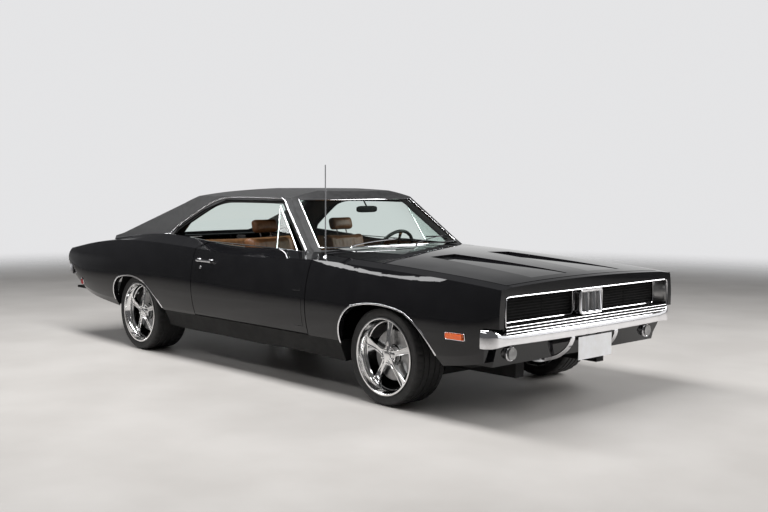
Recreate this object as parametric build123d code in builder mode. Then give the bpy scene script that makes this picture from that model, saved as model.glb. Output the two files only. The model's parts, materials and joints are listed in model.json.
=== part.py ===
from build123d import *
import math
import os

os.makedirs("parts", exist_ok=True)

# Two-door fastback hardtop muscle car, in millimetres.
# +X points forward, +Y to the car's left, +Z up. The origin is on the ground at mid-length.
# A station s is a distance ahead of the front axle, negative behind it.

# Overall sizes
LENGTH = 5283
WHEELBASE = 2972
FRONT_OVERHANG = 980
FRONT_AXLE_X = LENGTH / 2 - FRONT_OVERHANG
TAIL = FRONT_OVERHANG - LENGTH
WALL = 42
SHUT_GAP = 8
FAR = 1100

# Wheels
TYRE_RADIUS = 314
RIM_RADIUS = 249
AXLE_HEIGHT = TYRE_RADIUS
FRONT_WHEEL_Y = 758
FRONT_TYRE_WIDTH = 252
REAR_WHEEL_Y = 765
REAR_TYRE_WIDTH = 284
SPOKES = 5
HUB_RADIUS = 62
SPINDLE_RADIUS = 22
SPINDLE_PLAY = 0.05
DISC_RADIUS = 165

# Steering
KINGPIN_Y = 696
STEER_WHEEL_S = -1217
STEER_WHEEL_Y = 370
STEER_WHEEL_Z = 850
STEER_WHEEL_RADIUS = 190
STEER_RAKE = 25

# Shut lines of the panels
DOOR_FRONT = -705
DOOR_REAR = -2091
DOOR_INNER_Y = 758
SILL_TOP = 376
HOOD_REAR = -620
HOOD_FRONT = 902
HOOD_HALF = 765
NOSE = 955
LID_FRONT = -3490
LID_HALF = 572
BODY_REAR = TAIL + 18
TAIL_PANEL_FRONT = BODY_REAR + 41

# Glass and roof
ROOF_TOP = 1361
DRIP_Z = 1290
GLASS = 6
ROOF_WALL = 34
SCREEN_BASE_Z = 945
SCREEN_BASE_CORNER = -870
SCREEN_BASE_MIDDLE = -700
SCREEN_RAKE_S = -465
SCREEN_RAKE_Z = 345
SCREEN_HALF = 740

# Body sections. Columns: s, top height on the centre line, shoulder y and z,
# crease y and z, widest y and z, lower edge y and z, rocker y and z.
BODY_SECTIONS = [
    (NOSE, 836, 765, 818, 868, 806, 886, 660, 874, 500, 852, 430),
    (700, 868, 765, 842, 878, 829, 924, 650, 908, 410, 880, 352),
    (300, 902, 765, 868, 880, 852, 944, 645, 918, 385, 876, 300),
    (-100, 928, 765, 889, 880, 869, 950, 640, 918, 380, 862, 250),
    (-640, 944, 765, 912, 882, 884, 947, 640, 916, 378, 852, 236),
    (-1300, 940, 770, 928, 892, 866, 944, 642, 914, 384, 850, 236),
    (-2060, 944, 776, 938, 902, 892, 952, 650, 919, 396, 852, 240),
    (-2700, 984, 788, 976, 905, 914, 971, 660, 928, 400, 862, 262),
    (-3300, 944, 770, 934, 884, 906, 964, 662, 926, 402, 880, 330),
    (-3900, 872, 760, 860, 864, 846, 934, 655, 904, 455, 862, 400),
    (BODY_REAR, 806, 752, 800, 845, 788, 884, 700, 876, 660, 850, 640),
]

# Roof sections. Columns: s, half width at the belt, half width at the drip rail.
BELT_Z = 880
ROOF_SECTIONS = [
    (-560, 772, 596),
    (-1275, 778, 610),
    (-2000, 786, 618),
    (-2800, 798, 626),
    (-3650, 806, 640),
]

# Wheel arches, measured from each axle. Columns: s, z. The arcs run through
# the second, fourth and sixth points.
FRONT_ARCH = [(-368, 363), (-330, 525), (-228, 616), (-13, 646), (227, 621), (385, 520), (487, 387)]
REAR_ARCH = [(-358, 396), (-318, 524), (-213, 599), (0, 617), (199, 578), (318, 490), (400, 388)]
FRONT_WELL_RADIUS = 390
REAR_WELL_RADIUS = 348
FRONT_WELL_INNER_Y = 455
REAR_WELL_INNER_Y = 590
WELL_OUTER_Y = 905


def at(s):
    return FRONT_AXLE_X + s


def cross_plane(s):
    return Plane(origin=(at(s), 0, 0), x_dir=(0, 1, 0), z_dir=(1, 0, 0))


def save(piece, name):
    piece.part.label = name
    export_step(piece.part, f"parts/{name}.step")


def block(s_range, y_range, z_range, mode=Mode.ADD):
    size = [abs(high - low) for low, high in (s_range, y_range, z_range)]
    middle = [(low + high) / 2 for low, high in (s_range, y_range, z_range)]
    with Locations((at(middle[0]), middle[1], middle[2])):
        Box(*size, mode=mode)


def both_blocks(s_range, y_range, z_range, mode=Mode.ADD):
    block(s_range, y_range, z_range, mode)
    block(s_range, (-y_range[1], -y_range[0]), z_range, mode)


def side_prism(points, y_range, mode=Mode.ADD):
    with BuildSketch(Plane.XZ.offset(-y_range[1])) as outline:
        with BuildLine():
            Polyline([(at(s), z) for s, z in points], close=True)
        make_face()
    extrude(outline.sketch, amount=y_range[1] - y_range[0], mode=mode)


def cross_bar(s, z, radius, y_range, mode=Mode.ADD):
    with BuildSketch(Plane.XZ.offset(-y_range[1])) as disc:
        with Locations((at(s), z)):
            Circle(radius)
    extrude(disc.sketch, amount=y_range[1] - y_range[0], mode=mode)


def mirrored(source, name):
    with BuildPart() as twin:
        mirror(source.part, about=Plane.XZ)
    save(twin, name)
    return twin


# Outer and inner forms of the lower body
def body_section(row, wall, floor):
    s, top, shoulder_y, shoulder_z, crease_y, crease_z, wide_y, wide_z, low_y, low_z, rocker_y, rocker_z = row
    bottom = rocker_z if floor is None else floor
    with BuildSketch(cross_plane(s)) as section:
        with BuildLine():
            for side in (1, -1):
                shoulder = (side * (shoulder_y - wall), shoulder_z - wall)
                crease = (side * (crease_y - wall), crease_z - wall)
                lower = (side * (low_y - wall), low_z)
                Line(shoulder, crease)
                ThreePointArc(crease, (side * (wide_y - wall), wide_z), lower)
                Line(lower, (side * (rocker_y - wall), bottom))
            ThreePointArc((shoulder_y - wall, shoulder_z - wall), (0, top - wall),
                          (wall - shoulder_y, shoulder_z - wall))
            Line((rocker_y - wall, bottom), (wall - rocker_y, bottom))
        make_face()
    return section.sketch


with BuildPart() as body_form:
    loft([body_section(row, 0, None) for row in BODY_SECTIONS])

with BuildPart() as inner_form:
    loft([body_section(row, WALL, -100) for row in BODY_SECTIONS])

with BuildPart() as body_shell:
    add(body_form.part)
    add(inner_form.part, mode=Mode.SUBTRACT)


def arch_cut(axle_s, points, inner_y):
    moved = [(at(axle_s + s), z) for s, z in points]
    with BuildSketch(Plane.XZ.offset(inner_y)) as arch:
        with BuildLine():
            for first in (0, 2, 4):
                ThreePointArc(moved[first], moved[first + 1], moved[first + 2])
            Polyline([moved[6], (at(axle_s + 620), 150), (at(axle_s - 400), 150), moved[0]])
        make_face()
    extrude(arch.sketch, amount=FAR - inner_y, mode=Mode.SUBTRACT)


def wheel_wells():
    arch_cut(0, FRONT_ARCH, FRONT_WELL_INNER_Y)
    arch_cut(-WHEELBASE, REAR_ARCH, REAR_WELL_INNER_Y)
    cross_bar(0, AXLE_HEIGHT, FRONT_WELL_RADIUS, (-WELL_OUTER_Y, -FRONT_WELL_INNER_Y), Mode.SUBTRACT)
    cross_bar(-WHEELBASE, AXLE_HEIGHT, REAR_WELL_RADIUS, (-WELL_OUTER_Y - 9, -REAR_WELL_INNER_Y), Mode.SUBTRACT)


# Rubber stops that the closed hood and trunk lid come down to
STOP_GAP = 0.3
STOP_RADIUS = 10


def rubber_stops(s, y, bottom):
    with BuildPart() as stops:
        add(inner_form.part.moved(Location((0, 0, -STOP_GAP))))
        with BuildSketch(Plane.XY.offset(bottom)) as stop_plan:
            with Locations((at(s), -y), (at(s), y)):
                Circle(STOP_RADIUS)
        extrude(stop_plan.sketch, amount=200, mode=Mode.INTERSECT)
    return stops.part


# Fenders, notched at the nose for the bumper
BUMPER_Z = (482, 550)
BUMPER_END_Z = (472, 580)
NOTCH_GAP = 7
NOTCH_REAR = 855
FENDER_REAR = DOOR_FRONT + SHUT_GAP
with BuildPart() as fender_right:
    add(body_shell.part)
    block((FENDER_REAR, NOSE + 10), (-FAR, -HOOD_HALF - SHUT_GAP), (100, 1200), Mode.INTERSECT)
    block((FENDER_REAR - 10, -380), (-FAR, 0), (0, SILL_TOP), Mode.SUBTRACT)
    side_prism([(NOSE + 20, BUMPER_END_Z[1] + NOTCH_GAP), (NOTCH_REAR, BUMPER_END_Z[1] + NOTCH_GAP),
                (NOTCH_REAR, BUMPER_END_Z[0] - NOTCH_GAP), (800, 300), (NOSE + 20, 300)], (-FAR, 0), Mode.SUBTRACT)
    wheel_wells()
save(fender_right, "fender_right")
fender_left = mirrored(fender_right, "fender_left")

# Long scallops in the hood, deepest at the rear and running out to nothing at the front
SCALLOP_REAR = -60
SCALLOP_FRONT = 830
SCALLOP_DEPTH = 18
SCALLOP_INNER_Y = (165, 105)
SCALLOP_OUTER_Y = (400, 455)
scallop_slope = SCALLOP_DEPTH / (SCALLOP_FRONT - SCALLOP_REAR)
scallop_drop = -SCALLOP_DEPTH - at(SCALLOP_REAR) * scallop_slope
scallop_floor = body_form.part.moved(Location((0, 0, scallop_drop), (0, -math.degrees(scallop_slope), 0)))
with BuildPart() as scallops:
    with BuildSketch(Plane.XY.offset(760)) as scallop_plan:
        for side in (1, -1):
            with BuildLine():
                Polyline([(at(SCALLOP_REAR), side * SCALLOP_INNER_Y[0]), (at(SCALLOP_FRONT), side * SCALLOP_INNER_Y[1]),
                          (at(SCALLOP_FRONT), side * SCALLOP_OUTER_Y[1]), (at(SCALLOP_REAR), side * SCALLOP_OUTER_Y[0])],
                         close=True)
            make_face()
    extrude(scallop_plan.sketch, amount=400)
    add(scallop_floor, mode=Mode.SUBTRACT)

# Hood, thinner over the swing of the headlamp doors
HOOD_RELIEF_TOP = 808
with BuildPart() as hood:
    add(body_shell.part)
    add(scallops.part, mode=Mode.SUBTRACT)
    block((HOOD_REAR, HOOD_FRONT), (-HOOD_HALF, HOOD_HALF), (700, 1200), Mode.INTERSECT)
    both_blocks((690, HOOD_FRONT + 1), (400, HOOD_HALF + 1), (700, HOOD_RELIEF_TOP), Mode.SUBTRACT)
save(hood, "hood")

# Nose header over the grille
HEADER_REAR = HOOD_FRONT + 11
GRILLE_TOP = 762
GRILLE_BOTTOM = 600
with BuildPart() as nose_header:
    add(body_form.part)
    block((HEADER_REAR, NOSE + 10), (-HOOD_HALF - SHUT_GAP, HOOD_HALF + SHUT_GAP), (GRILLE_TOP, 1200), Mode.INTERSECT)
save(nose_header, "nose_header")

# Cowl panel between the hood and the windshield
COWL_FRONT = HOOD_REAR - SHUT_GAP
COWL_REAR = -960
COWL_HALF = DOOR_INNER_Y - 14
with BuildPart() as cowl_panel:
    add(body_shell.part)
    block((COWL_REAR, COWL_FRONT), (-COWL_HALF, COWL_HALF), (700, 1200), Mode.INTERSECT)
    block((COWL_REAR - 5, SCREEN_BASE_CORNER), (-690, 690), (700, 1200), Mode.SUBTRACT)
save(cowl_panel, "cowl_panel")

# Two shallow dents at the front of each door, deepest at their upright front edge
DENT_DEPTH = 12
DENT_SLOPE = 0.136
DENT_FRONT = -762
DENTS = [
    [(DENT_FRONT, 866), (DENT_FRONT, 683), (-835, 683), (-855, 866)],
    [(-750, 620), (-750, 440), (-850, 440), (-862, 620)],
]
dent_turn = math.degrees(math.atan(DENT_SLOPE))
dent_skin_y = -941
dent_shift = dent_skin_y + DENT_DEPTH - (
    dent_skin_y * math.cos(math.radians(dent_turn)) + at(DENT_FRONT) * math.sin(math.radians(dent_turn)))
with BuildPart() as dents:
    for outline in DENTS:
        side_prism(outline, (-FAR, -850))
    add(body_form.part.moved(Location((0, dent_shift, 0), (0, 0, dent_turn))), mode=Mode.SUBTRACT)

# Doors, stepped at the front inner edge that swings past the cowl
DOOR_BOTTOM = SILL_TOP + SHUT_GAP
DOOR_STEP_S = DOOR_FRONT - 24
DOOR_STEP_Y = DOOR_INNER_Y + 20
with BuildPart() as door_right:
    add(body_form.part)
    block((DOOR_REAR, DOOR_FRONT), (-FAR, -DOOR_INNER_Y), (DOOR_BOTTOM, 1200), Mode.INTERSECT)
    block((DOOR_STEP_S, DOOR_FRONT + 1), (-DOOR_STEP_Y, -DOOR_INNER_Y + 1), (0, 1200), Mode.SUBTRACT)
    add(dents.part, mode=Mode.SUBTRACT)
    block((DOOR_REAR - 5, DOOR_REAR + 18), (-870, -DOOR_INNER_Y + 5), (0, 1200), Mode.SUBTRACT)
save(door_right, "door_right")
door_left = mirrored(door_right, "door_left")

# Door handles: a grip on two posts
HANDLE_S = (-2014, -1826)
HANDLE_Z = (800, 818)
HANDLE_FACE_Y = 958
with BuildPart() as handle_right:
    block(HANDLE_S, (-HANDLE_FACE_Y, -HANDLE_FACE_Y + 9), HANDLE_Z)
    for post_s in (HANDLE_S[0] + 14, HANDLE_S[1] - 14):
        block((post_s - 12, post_s + 12), (-HANDLE_FACE_Y + 9, -900), HANDLE_Z)
    add(body_form.part, mode=Mode.SUBTRACT)
save(handle_right, "door_handle_right")
handle_left = mirrored(handle_right, "door_handle_left")

# Quarter panels
QUARTER_FRONT = DOOR_REAR - SHUT_GAP
QUARTER_STEP = -2760
with BuildPart() as quarter_front:
    add(body_form.part)
    block((QUARTER_STEP, QUARTER_FRONT), (-FAR, -DOOR_INNER_Y), (SILL_TOP, 1200), Mode.INTERSECT)

with BuildPart() as quarter_right:
    add(body_shell.part)
    block((BODY_REAR, QUARTER_STEP), (-FAR, -LID_HALF - SHUT_GAP), (100, 1200), Mode.INTERSECT)
    add(quarter_front.part)
    wheel_wells()
save(quarter_right, "quarter_right")
quarter_left = mirrored(quarter_right, "quarter_left")

# Rear deck, trunk lid and tail panel
DECK_FRONT = -2960
with BuildPart() as rear_deck:
    add(body_shell.part)
    block((LID_FRONT + SHUT_GAP, DECK_FRONT), (-LID_HALF - SHUT_GAP, LID_HALF + SHUT_GAP), (700, 1200), Mode.INTERSECT)
save(rear_deck, "rear_deck")

with BuildPart() as trunk_lid:
    add(body_shell.part)
    block((BODY_REAR - 5, LID_FRONT), (-LID_HALF, LID_HALF), (600, 1200), Mode.INTERSECT)
save(trunk_lid, "trunk_lid")

TAIL_PANEL_TOP = 752
TAIL_LAMP_Z = (690, 742)
TAIL_LAMP_Y = (150, 742)
trunk_stops = rubber_stops(TAIL_PANEL_FRONT - 14, 400, TAIL_PANEL_TOP - 10)
with BuildPart() as tail_panel:
    add(inner_form.part)
    block((BODY_REAR - 5, TAIL_PANEL_FRONT), (-FAR, FAR), (650, 1200), Mode.INTERSECT)
    block((BODY_REAR - 5, TAIL_PANEL_FRONT), (-LID_HALF - SHUT_GAP, LID_HALF + SHUT_GAP), (TAIL_PANEL_TOP, 1200),
          Mode.SUBTRACT)
    add(trunk_stops)
    both_blocks((BODY_REAR - 10, BODY_REAR + 14), TAIL_LAMP_Y, TAIL_LAMP_Z, Mode.SUBTRACT)
save(tail_panel, "tail_panel")

with BuildPart() as tail_lamps:
    both_blocks((BODY_REAR + 2, BODY_REAR + 14), TAIL_LAMP_Y, TAIL_LAMP_Z)
save(tail_lamps, "tail_lamps")

# Roof with its pillars and flying buttresses
def roof_section(row, wall):
    s, belt_half, drip_half = row
    lean = (belt_half - drip_half) / (DRIP_Z - BELT_Z)
    low = BELT_Z - 80
    low_half = belt_half + lean * 80 - wall
    top_half = drip_half - wall
    drip = DRIP_Z - wall / 2
    with BuildSketch(cross_plane(s)) as section:
        with BuildLine():
            Polyline([(top_half, drip), (low_half, low), (-low_half, low), (-top_half, drip)])
            ThreePointArc((-top_half, drip), (0, ROOF_TOP + 6 - wall), (top_half, drip))
        make_face()
    return section.sketch


def screen_prism(depth_front, depth_back, mode):
    base_shift = (BELT_Z - 60 - SCREEN_BASE_Z) / SCREEN_RAKE_Z * SCREEN_RAKE_S
    corner = at(SCREEN_BASE_CORNER + base_shift)
    middle = at(SCREEN_BASE_MIDDLE + base_shift)
    slope = Vector(SCREEN_RAKE_S, 0, SCREEN_RAKE_Z)
    with BuildSketch(Plane.XY.offset(BELT_Z - 60)) as plan:
        with BuildLine():
            for depth in (depth_front, depth_back):
                if depth is not None:
                    ThreePointArc((corner - depth, -SCREEN_HALF), (middle - depth, 0), (corner - depth, SCREEN_HALF))
            if depth_back is None:
                Polyline([(corner - depth_front, SCREEN_HALF), (corner - depth_front, 900), (at(-3900), 900),
                          (at(-3900), -900), (corner - depth_front, -900), (corner - depth_front, -SCREEN_HALF)])
            else:
                Line((corner - depth_front, SCREEN_HALF), (corner - depth_back, SCREEN_HALF))
                Line((corner - depth_front, -SCREEN_HALF), (corner - depth_back, -SCREEN_HALF))
        make_face()
    extrude(plan.sketch, amount=900, dir=slope, mode=mode)


BUTTRESS_END = -3560
with BuildPart() as roof_form:
    loft([roof_section(row, 0) for row in ROOF_SECTIONS])
    with BuildSketch(Plane.XZ.offset(-900)):
        with BuildLine():
            ThreePointArc((at(-1100), 1322), (at(-1700), ROOF_TOP), (at(-2300), 1326))
            ThreePointArc((at(-2300), 1326), (at(-2470), 1290), (at(-2640), 1232))
            Line((at(-2640), 1232), (at(-3440), 958))
            Polyline([(at(-3440), 958), (at(BUTTRESS_END), 930), (at(BUTTRESS_END), 810),
                      (at(-500), 810), (at(-500), 1180), (at(-1100), 1322)])
        make_face()
    extrude(amount=1800, mode=Mode.INTERSECT)
    screen_prism(0, None, Mode.INTERSECT)

SIDE_WINDOW = [(-905, 900), (-1345, 1268), (-2080, 1266), (-2330, 1186), (-2625, 1030), (-2655, 972), (-2640, 900)]
REAR_WINDOW_TOP = (-2470, 1315)
REAR_WINDOW_BASE = (-2960, 930)
TUNNEL_HALF = 585
with BuildPart() as cabin_form:
    loft([roof_section(row, ROOF_WALL) for row in ROOF_SECTIONS])
    side_prism([(-500, 700), (-500, 1150), (-1200, 1302), (-1700, ROOF_TOP - ROOF_WALL), (-2300, 1300),
                (-2440, 1284), (-2920, 910), (-2920, 700)], (-900, 900), Mode.INTERSECT)
    screen_prism(ROOF_WALL, None, Mode.INTERSECT)

with BuildPart() as roof_shell:
    add(roof_form.part)
    add(body_form.part, mode=Mode.SUBTRACT)
    add(cabin_form.part, mode=Mode.SUBTRACT)
    side_prism(SIDE_WINDOW, (-900, 900), Mode.SUBTRACT)
    side_prism([(REAR_WINDOW_TOP[0] - 70, REAR_WINDOW_TOP[1] - 45), (-2600, 1400), (-3700, 1400), (-3700, 850),
                (REAR_WINDOW_BASE[0] - 40, 850)], (-TUNNEL_HALF, TUNNEL_HALF), Mode.SUBTRACT)
    with BuildSketch(cross_plane(0)):
        with BuildLine():
            Polyline([(-695, 930), (695, 930), (565, 1272), (-565, 1272)], close=True)
        make_face()
    extrude(amount=-1500, mode=Mode.SUBTRACT)
    block((-3700, -2330), (-540, 540), (850, 1262), Mode.SUBTRACT)
save(roof_shell, "roof_shell")

with BuildPart() as windshield:
    screen_prism(8, 8 + GLASS, Mode.ADD)
    with BuildSketch(cross_plane(0)):
        with BuildLine():
            Polyline([(-690, 940), (690, 940), (563, 1271), (-563, 1271)], close=True)
        make_face()
    extrude(amount=-1600, mode=Mode.INTERSECT)
    add(body_form.part, mode=Mode.SUBTRACT)
save(windshield, "windshield")

with BuildPart() as rear_window:
    side_prism([(-2500, 1262), (-2506, 1262), (-2926, 934), (-2920, 934)], (-540, 540))
save(rear_window, "rear_window")

# Vent windows on the doors
VENT = [(-985, 900), (-1250, 900), (-1362, 1240), (-1350, 1240)]
with BuildPart() as vent_window_right:
    with BuildSketch(Plane.XZ.offset(600)):
        with BuildLine():
            Polyline([(at(s), z) for s, z in VENT], close=True)
        make_face()
    extrude(amount=200)
    with BuildSketch(cross_plane(-900)):
        with BuildLine():
            Polyline([(-771, 900), (-777, 900), (-622, 1290), (-616, 1290)], close=True)
        make_face()
    extrude(amount=-500, mode=Mode.INTERSECT)
    add(body_form.part, mode=Mode.SUBTRACT)
save(vent_window_right, "vent_window_right")
vent_window_left = mirrored(vent_window_right, "vent_window_left")

# Wheels, modelled about their own axis with the outboard face up
RIM_DEPTH = 95


def rim_model(width):
    half = width / 2
    with BuildPart() as model:
        with BuildSketch(Plane.XZ):
            with BuildLine():
                Polyline([(RIM_RADIUS, half), (RIM_RADIUS, half - 14), (RIM_RADIUS - 14, half - 20),
                          (RIM_RADIUS - 24, half - 60), (RIM_RADIUS - 24, 20 - half), (RIM_RADIUS - 8, -half),
                          (RIM_RADIUS - 20, -half), (RIM_RADIUS - 34, 16 - half), (RIM_RADIUS - 34, half - 64),
                          (RIM_RADIUS - 24, half - 14), (RIM_RADIUS - 16, half)], close=True)
            make_face()
        revolve(axis=Axis.Z)
        with BuildSketch(Plane.XY.offset(half - RIM_DEPTH)):
            Circle(HUB_RADIUS)
        extrude(amount=58, taper=14)
        with BuildSketch(Plane.XY.offset(half - RIM_DEPTH - 40)):
            Circle(HUB_RADIUS)
        extrude(amount=40)
        with BuildSketch(Plane.XY.offset(half - RIM_DEPTH)):
            with PolarLocations(0, SPOKES):
                with Locations((RIM_RADIUS / 2 - 5, 16), (RIM_RADIUS / 2 - 5, -16)):
                    Rectangle(RIM_RADIUS - 60, 17)
        extrude(amount=34)
        with BuildSketch(Plane.XY.offset(half - RIM_DEPTH - 40)):
            Circle(DISC_RADIUS)
            Circle(HUB_RADIUS - 4, mode=Mode.SUBTRACT)
        extrude(amount=24)
        with BuildSketch(Plane.XY.offset(half - RIM_DEPTH - 40)):
            Circle(SPINDLE_RADIUS + SPINDLE_PLAY)
        extrude(amount=60, mode=Mode.SUBTRACT)
    return model


def tyre_model(width, rim_solid):
    half = width / 2
    shoulder = half - 8
    with BuildPart() as model:
        with BuildSketch(Plane.XZ):
            with BuildLine():
                Line((RIM_RADIUS - 12, half - 15), (RIM_RADIUS + 4, half - 3))
                ThreePointArc((RIM_RADIUS + 4, half - 3), (TYRE_RADIUS - 28, half), (TYRE_RADIUS - 10, shoulder - 14))
                Line((TYRE_RADIUS - 10, shoulder - 14), (TYRE_RADIUS, shoulder - 36))
                Line((TYRE_RADIUS, shoulder - 36), (TYRE_RADIUS, 36 - shoulder))
                Line((TYRE_RADIUS, 36 - shoulder), (TYRE_RADIUS - 10, 14 - shoulder))
                ThreePointArc((TYRE_RADIUS - 10, 14 - shoulder), (TYRE_RADIUS - 28, -half), (RIM_RADIUS + 4, 3 - half))
                Line((RIM_RADIUS + 4, 3 - half), (RIM_RADIUS - 12, 21 - half))
                Line((RIM_RADIUS - 12, 21 - half), (RIM_RADIUS - 12, half - 15))
            make_face()
        revolve(axis=Axis.Z)
        add(rim_solid, mode=Mode.SUBTRACT)
    return model


WHEELS = [
    ("front_right", 0, -1, FRONT_WHEEL_Y, FRONT_TYRE_WIDTH),
    ("front_left", 0, 1, FRONT_WHEEL_Y, FRONT_TYRE_WIDTH),
    ("rear_right", -WHEELBASE, -1, REAR_WHEEL_Y, REAR_TYRE_WIDTH),
    ("rear_left", -WHEELBASE, 1, REAR_WHEEL_Y, REAR_TYRE_WIDTH),
]


def wheel_location(axle_s, side, wheel_y):
    origin = (at(axle_s), side * wheel_y, AXLE_HEIGHT)
    return Plane(origin=origin, x_dir=(1, 0, 0), z_dir=(0, side, 0)).location


for corner, axle_s, side, wheel_y, width in WHEELS:
    placing = wheel_location(axle_s, side, wheel_y)
    bare_rim = rim_model(width).part
    bare_tyre = tyre_model(width, bare_rim).part
    with BuildPart() as rim:
        add(bare_rim.moved(placing))
    save(rim, f"rim_{corner}")
    with BuildPart() as tyre:
        add(bare_tyre.moved(placing))
    save(tyre, f"tyre_{corner}")

# Steering knuckles with their spindles
SPINDLE_INNER_Y = KINGPIN_Y - 30
HUB_BACK_Y = FRONT_WHEEL_Y + FRONT_TYRE_WIDTH / 2 - RIM_DEPTH - 40
ARM_UPPER_Z = 432
ARM_LOWER_Z = 196
BALL_RADIUS = 20
with BuildPart() as knuckle_right:
    with BuildSketch(Plane.XY.offset(ARM_LOWER_Z + BALL_RADIUS + 0.5)):
        with Locations((at(0), -KINGPIN_Y)):
            Circle(BALL_RADIUS)
    extrude(amount=ARM_UPPER_Z - ARM_LOWER_Z - 2 * BALL_RADIUS - 1)
    cross_bar(0, AXLE_HEIGHT, SPINDLE_RADIUS, (-HUB_BACK_Y - 55, -SPINDLE_INNER_Y))
    cross_bar(0, AXLE_HEIGHT, 48, (-HUB_BACK_Y + 6, -SPINDLE_INNER_Y))
save(knuckle_right, "knuckle_right")
knuckle_left = mirrored(knuckle_right, "knuckle_left")

# Front crossmember with the upper and lower arms
with BuildPart() as front_crossmember:
    block((-70, 70), (-430, 430), (150, 215))
    for side in (1, -1):
        with BuildSketch(Plane.XY.offset(ARM_LOWER_Z - 14)):
            with BuildLine():
                Polyline([(at(-90), side * 420), (at(90), side * 420), (at(14), side * KINGPIN_Y),
                          (at(-14), side * KINGPIN_Y)], close=True)
            make_face()
        extrude(amount=28)
        with BuildSketch(Plane.XY.offset(ARM_UPPER_Z - 12)):
            with BuildLine():
                Polyline([(at(-110), side * 400), (at(110), side * 400), (at(14), side * KINGPIN_Y),
                          (at(-14), side * KINGPIN_Y)], close=True)
            make_face()
        extrude(amount=24)
        with Locations((at(0), side * KINGPIN_Y, ARM_UPPER_Z), (at(0), side * KINGPIN_Y, ARM_LOWER_Z)):
            Sphere(BALL_RADIUS)
    both_blocks((-110, 110), (380, 430), (190, 460))
save(front_crossmember, "front_crossmember")

# Front frame: rails, aprons, radiator and its support
APRON_Y = (FRONT_WELL_INNER_Y - 18, FRONT_WELL_INNER_Y)
with BuildPart() as left_wells:
    both_blocks((-FRONT_WELL_RADIUS, FRONT_WELL_RADIUS), (FRONT_WELL_INNER_Y, WELL_OUTER_Y), (100, 700))

hood_stops = rubber_stops(710, 350, 760)
with BuildPart() as front_frame:
    both_blocks((-640, 720), (APRON_Y[0] - 60, APRON_Y[1]), (225, 330))
    both_blocks((-640, 720), APRON_Y, (330, 768))
    block((700, 720), (-APRON_Y[1], APRON_Y[1]), (330, 768))
    both_blocks((-640, 700), (APRON_Y[1], HOOD_HALF + SHUT_GAP + 30), (745, 768))
    both_blocks((500, 700), (APRON_Y[1], HOOD_HALF + 60), (330, 350))
    block((640, 700), (-330, 330), (340, 770))
    add(hood_stops)
    add(front_crossmember.part, mode=Mode.SUBTRACT)
    wheel_wells()
    add(left_wells.part, mode=Mode.SUBTRACT)
save(front_frame, "front_frame")

# Engine and gearbox, as one plain block
GEARBOX_REAR = -1250
with BuildPart() as engine_block:
    block((-560, 130), (-290, 290), (230, 700))
    block((GEARBOX_REAR, -560), (-130, 130), (215, 400))
    both_blocks((-260, -200), (290, APRON_Y[0] - 60), (260, 320))
save(engine_block, "engine_block")

# Floor pan with rockers, firewall, kick-up, trunk floor and rear wheel wells
FLOOR_TOP = 246
TUNNEL_TOP = 420
KICK_FRONT = -2540
KICK_TOP = 480
TRUNK_FLOOR_TOP = 440
with BuildPart() as floor_pan:
    add(body_form.part)
    block((KICK_FRONT, -380), (-FAR, FAR), (100, SILL_TOP), Mode.INTERSECT)
    block((KICK_FRONT - 5, -375), (-690, 690), (100, SILL_TOP + 5), Mode.SUBTRACT)
    block((KICK_FRONT, -640), (-700, 700), (FLOOR_TOP - 20, FLOOR_TOP))
    block((KICK_FRONT, KICK_FRONT + 20), (-695, 695), (FLOOR_TOP - 20, KICK_TOP))
    block((-3440, KICK_FRONT + 20), (-REAR_WELL_INNER_Y, REAR_WELL_INNER_Y), (KICK_TOP - 20, KICK_TOP))
    block((-3440, -3420), (-REAR_WELL_INNER_Y, REAR_WELL_INNER_Y), (TRUNK_FLOOR_TOP - 20, KICK_TOP))
    block((TAIL_PANEL_FRONT - 1, -3440), (-820, 820), (TRUNK_FLOOR_TOP - 20, TRUNK_FLOOR_TOP))
    block((-660, -640), (-740, 740), (FLOOR_TOP - 20, 862))
    block((KICK_FRONT, -660), (-150, 150), (FLOOR_TOP - 20, TUNNEL_TOP))
    block((KICK_FRONT - 5, -635), (-135, 135), (100, TUNNEL_TOP - 15), Mode.SUBTRACT)
save(floor_pan, "floor_pan")

# Grille panels, divider and headlamps
GRILLE_FACE = 880
DOOR_PIVOT = GRILLE_FACE - 80
LAMP_Z = (GRILLE_TOP + GRILLE_BOTTOM) / 2
HEAD_DOOR_Y = (428, 756)
RIBS = 8


def ribbed_panel(y_range, bottom):
    block((GRILLE_FACE - 12, GRILLE_FACE), y_range, (bottom, GRILLE_TOP - 8))
    pitch = (GRILLE_TOP - GRILLE_BOTTOM - 26) / RIBS
    for rib in range(RIBS + 1):
        z = GRILLE_BOTTOM + 10 + rib * pitch
        block((GRILLE_FACE, GRILLE_FACE + 6), y_range, (z, z + 5))


with BuildPart() as grille:
    ribbed_panel((-HEAD_DOOR_Y[0] + 6, -124), GRILLE_BOTTOM)
    ribbed_panel((124, HEAD_DOOR_Y[0] - 6), GRILLE_BOTTOM)
    block((GRILLE_FACE - 12, NOSE), (-828, 828), (GRILLE_BOTTOM - 14, GRILLE_BOTTOM))
    both_blocks((GRILLE_FACE - 40, GRILLE_FACE - 30), (100, HEAD_DOOR_Y[0] - 6), (GRILLE_BOTTOM - 14, GRILLE_TOP))
    both_blocks((GRILLE_FACE - 40, GRILLE_FACE - 12), (100, HEAD_DOOR_Y[0] - 6), (GRILLE_BOTTOM - 14, GRILLE_BOTTOM))
save(grille, "grille")

with BuildPart() as grille_divider:
    block((GRILLE_FACE - 30, 942), (-120, 120), (GRILLE_BOTTOM, GRILLE_TOP - 2))
    for y in (-62, 0, 62):
        block((910, 950), (y - 17, y + 17), (GRILLE_BOTTOM + 16, GRILLE_TOP - 18), Mode.SUBTRACT)
save(grille_divider, "grille_divider")

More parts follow.
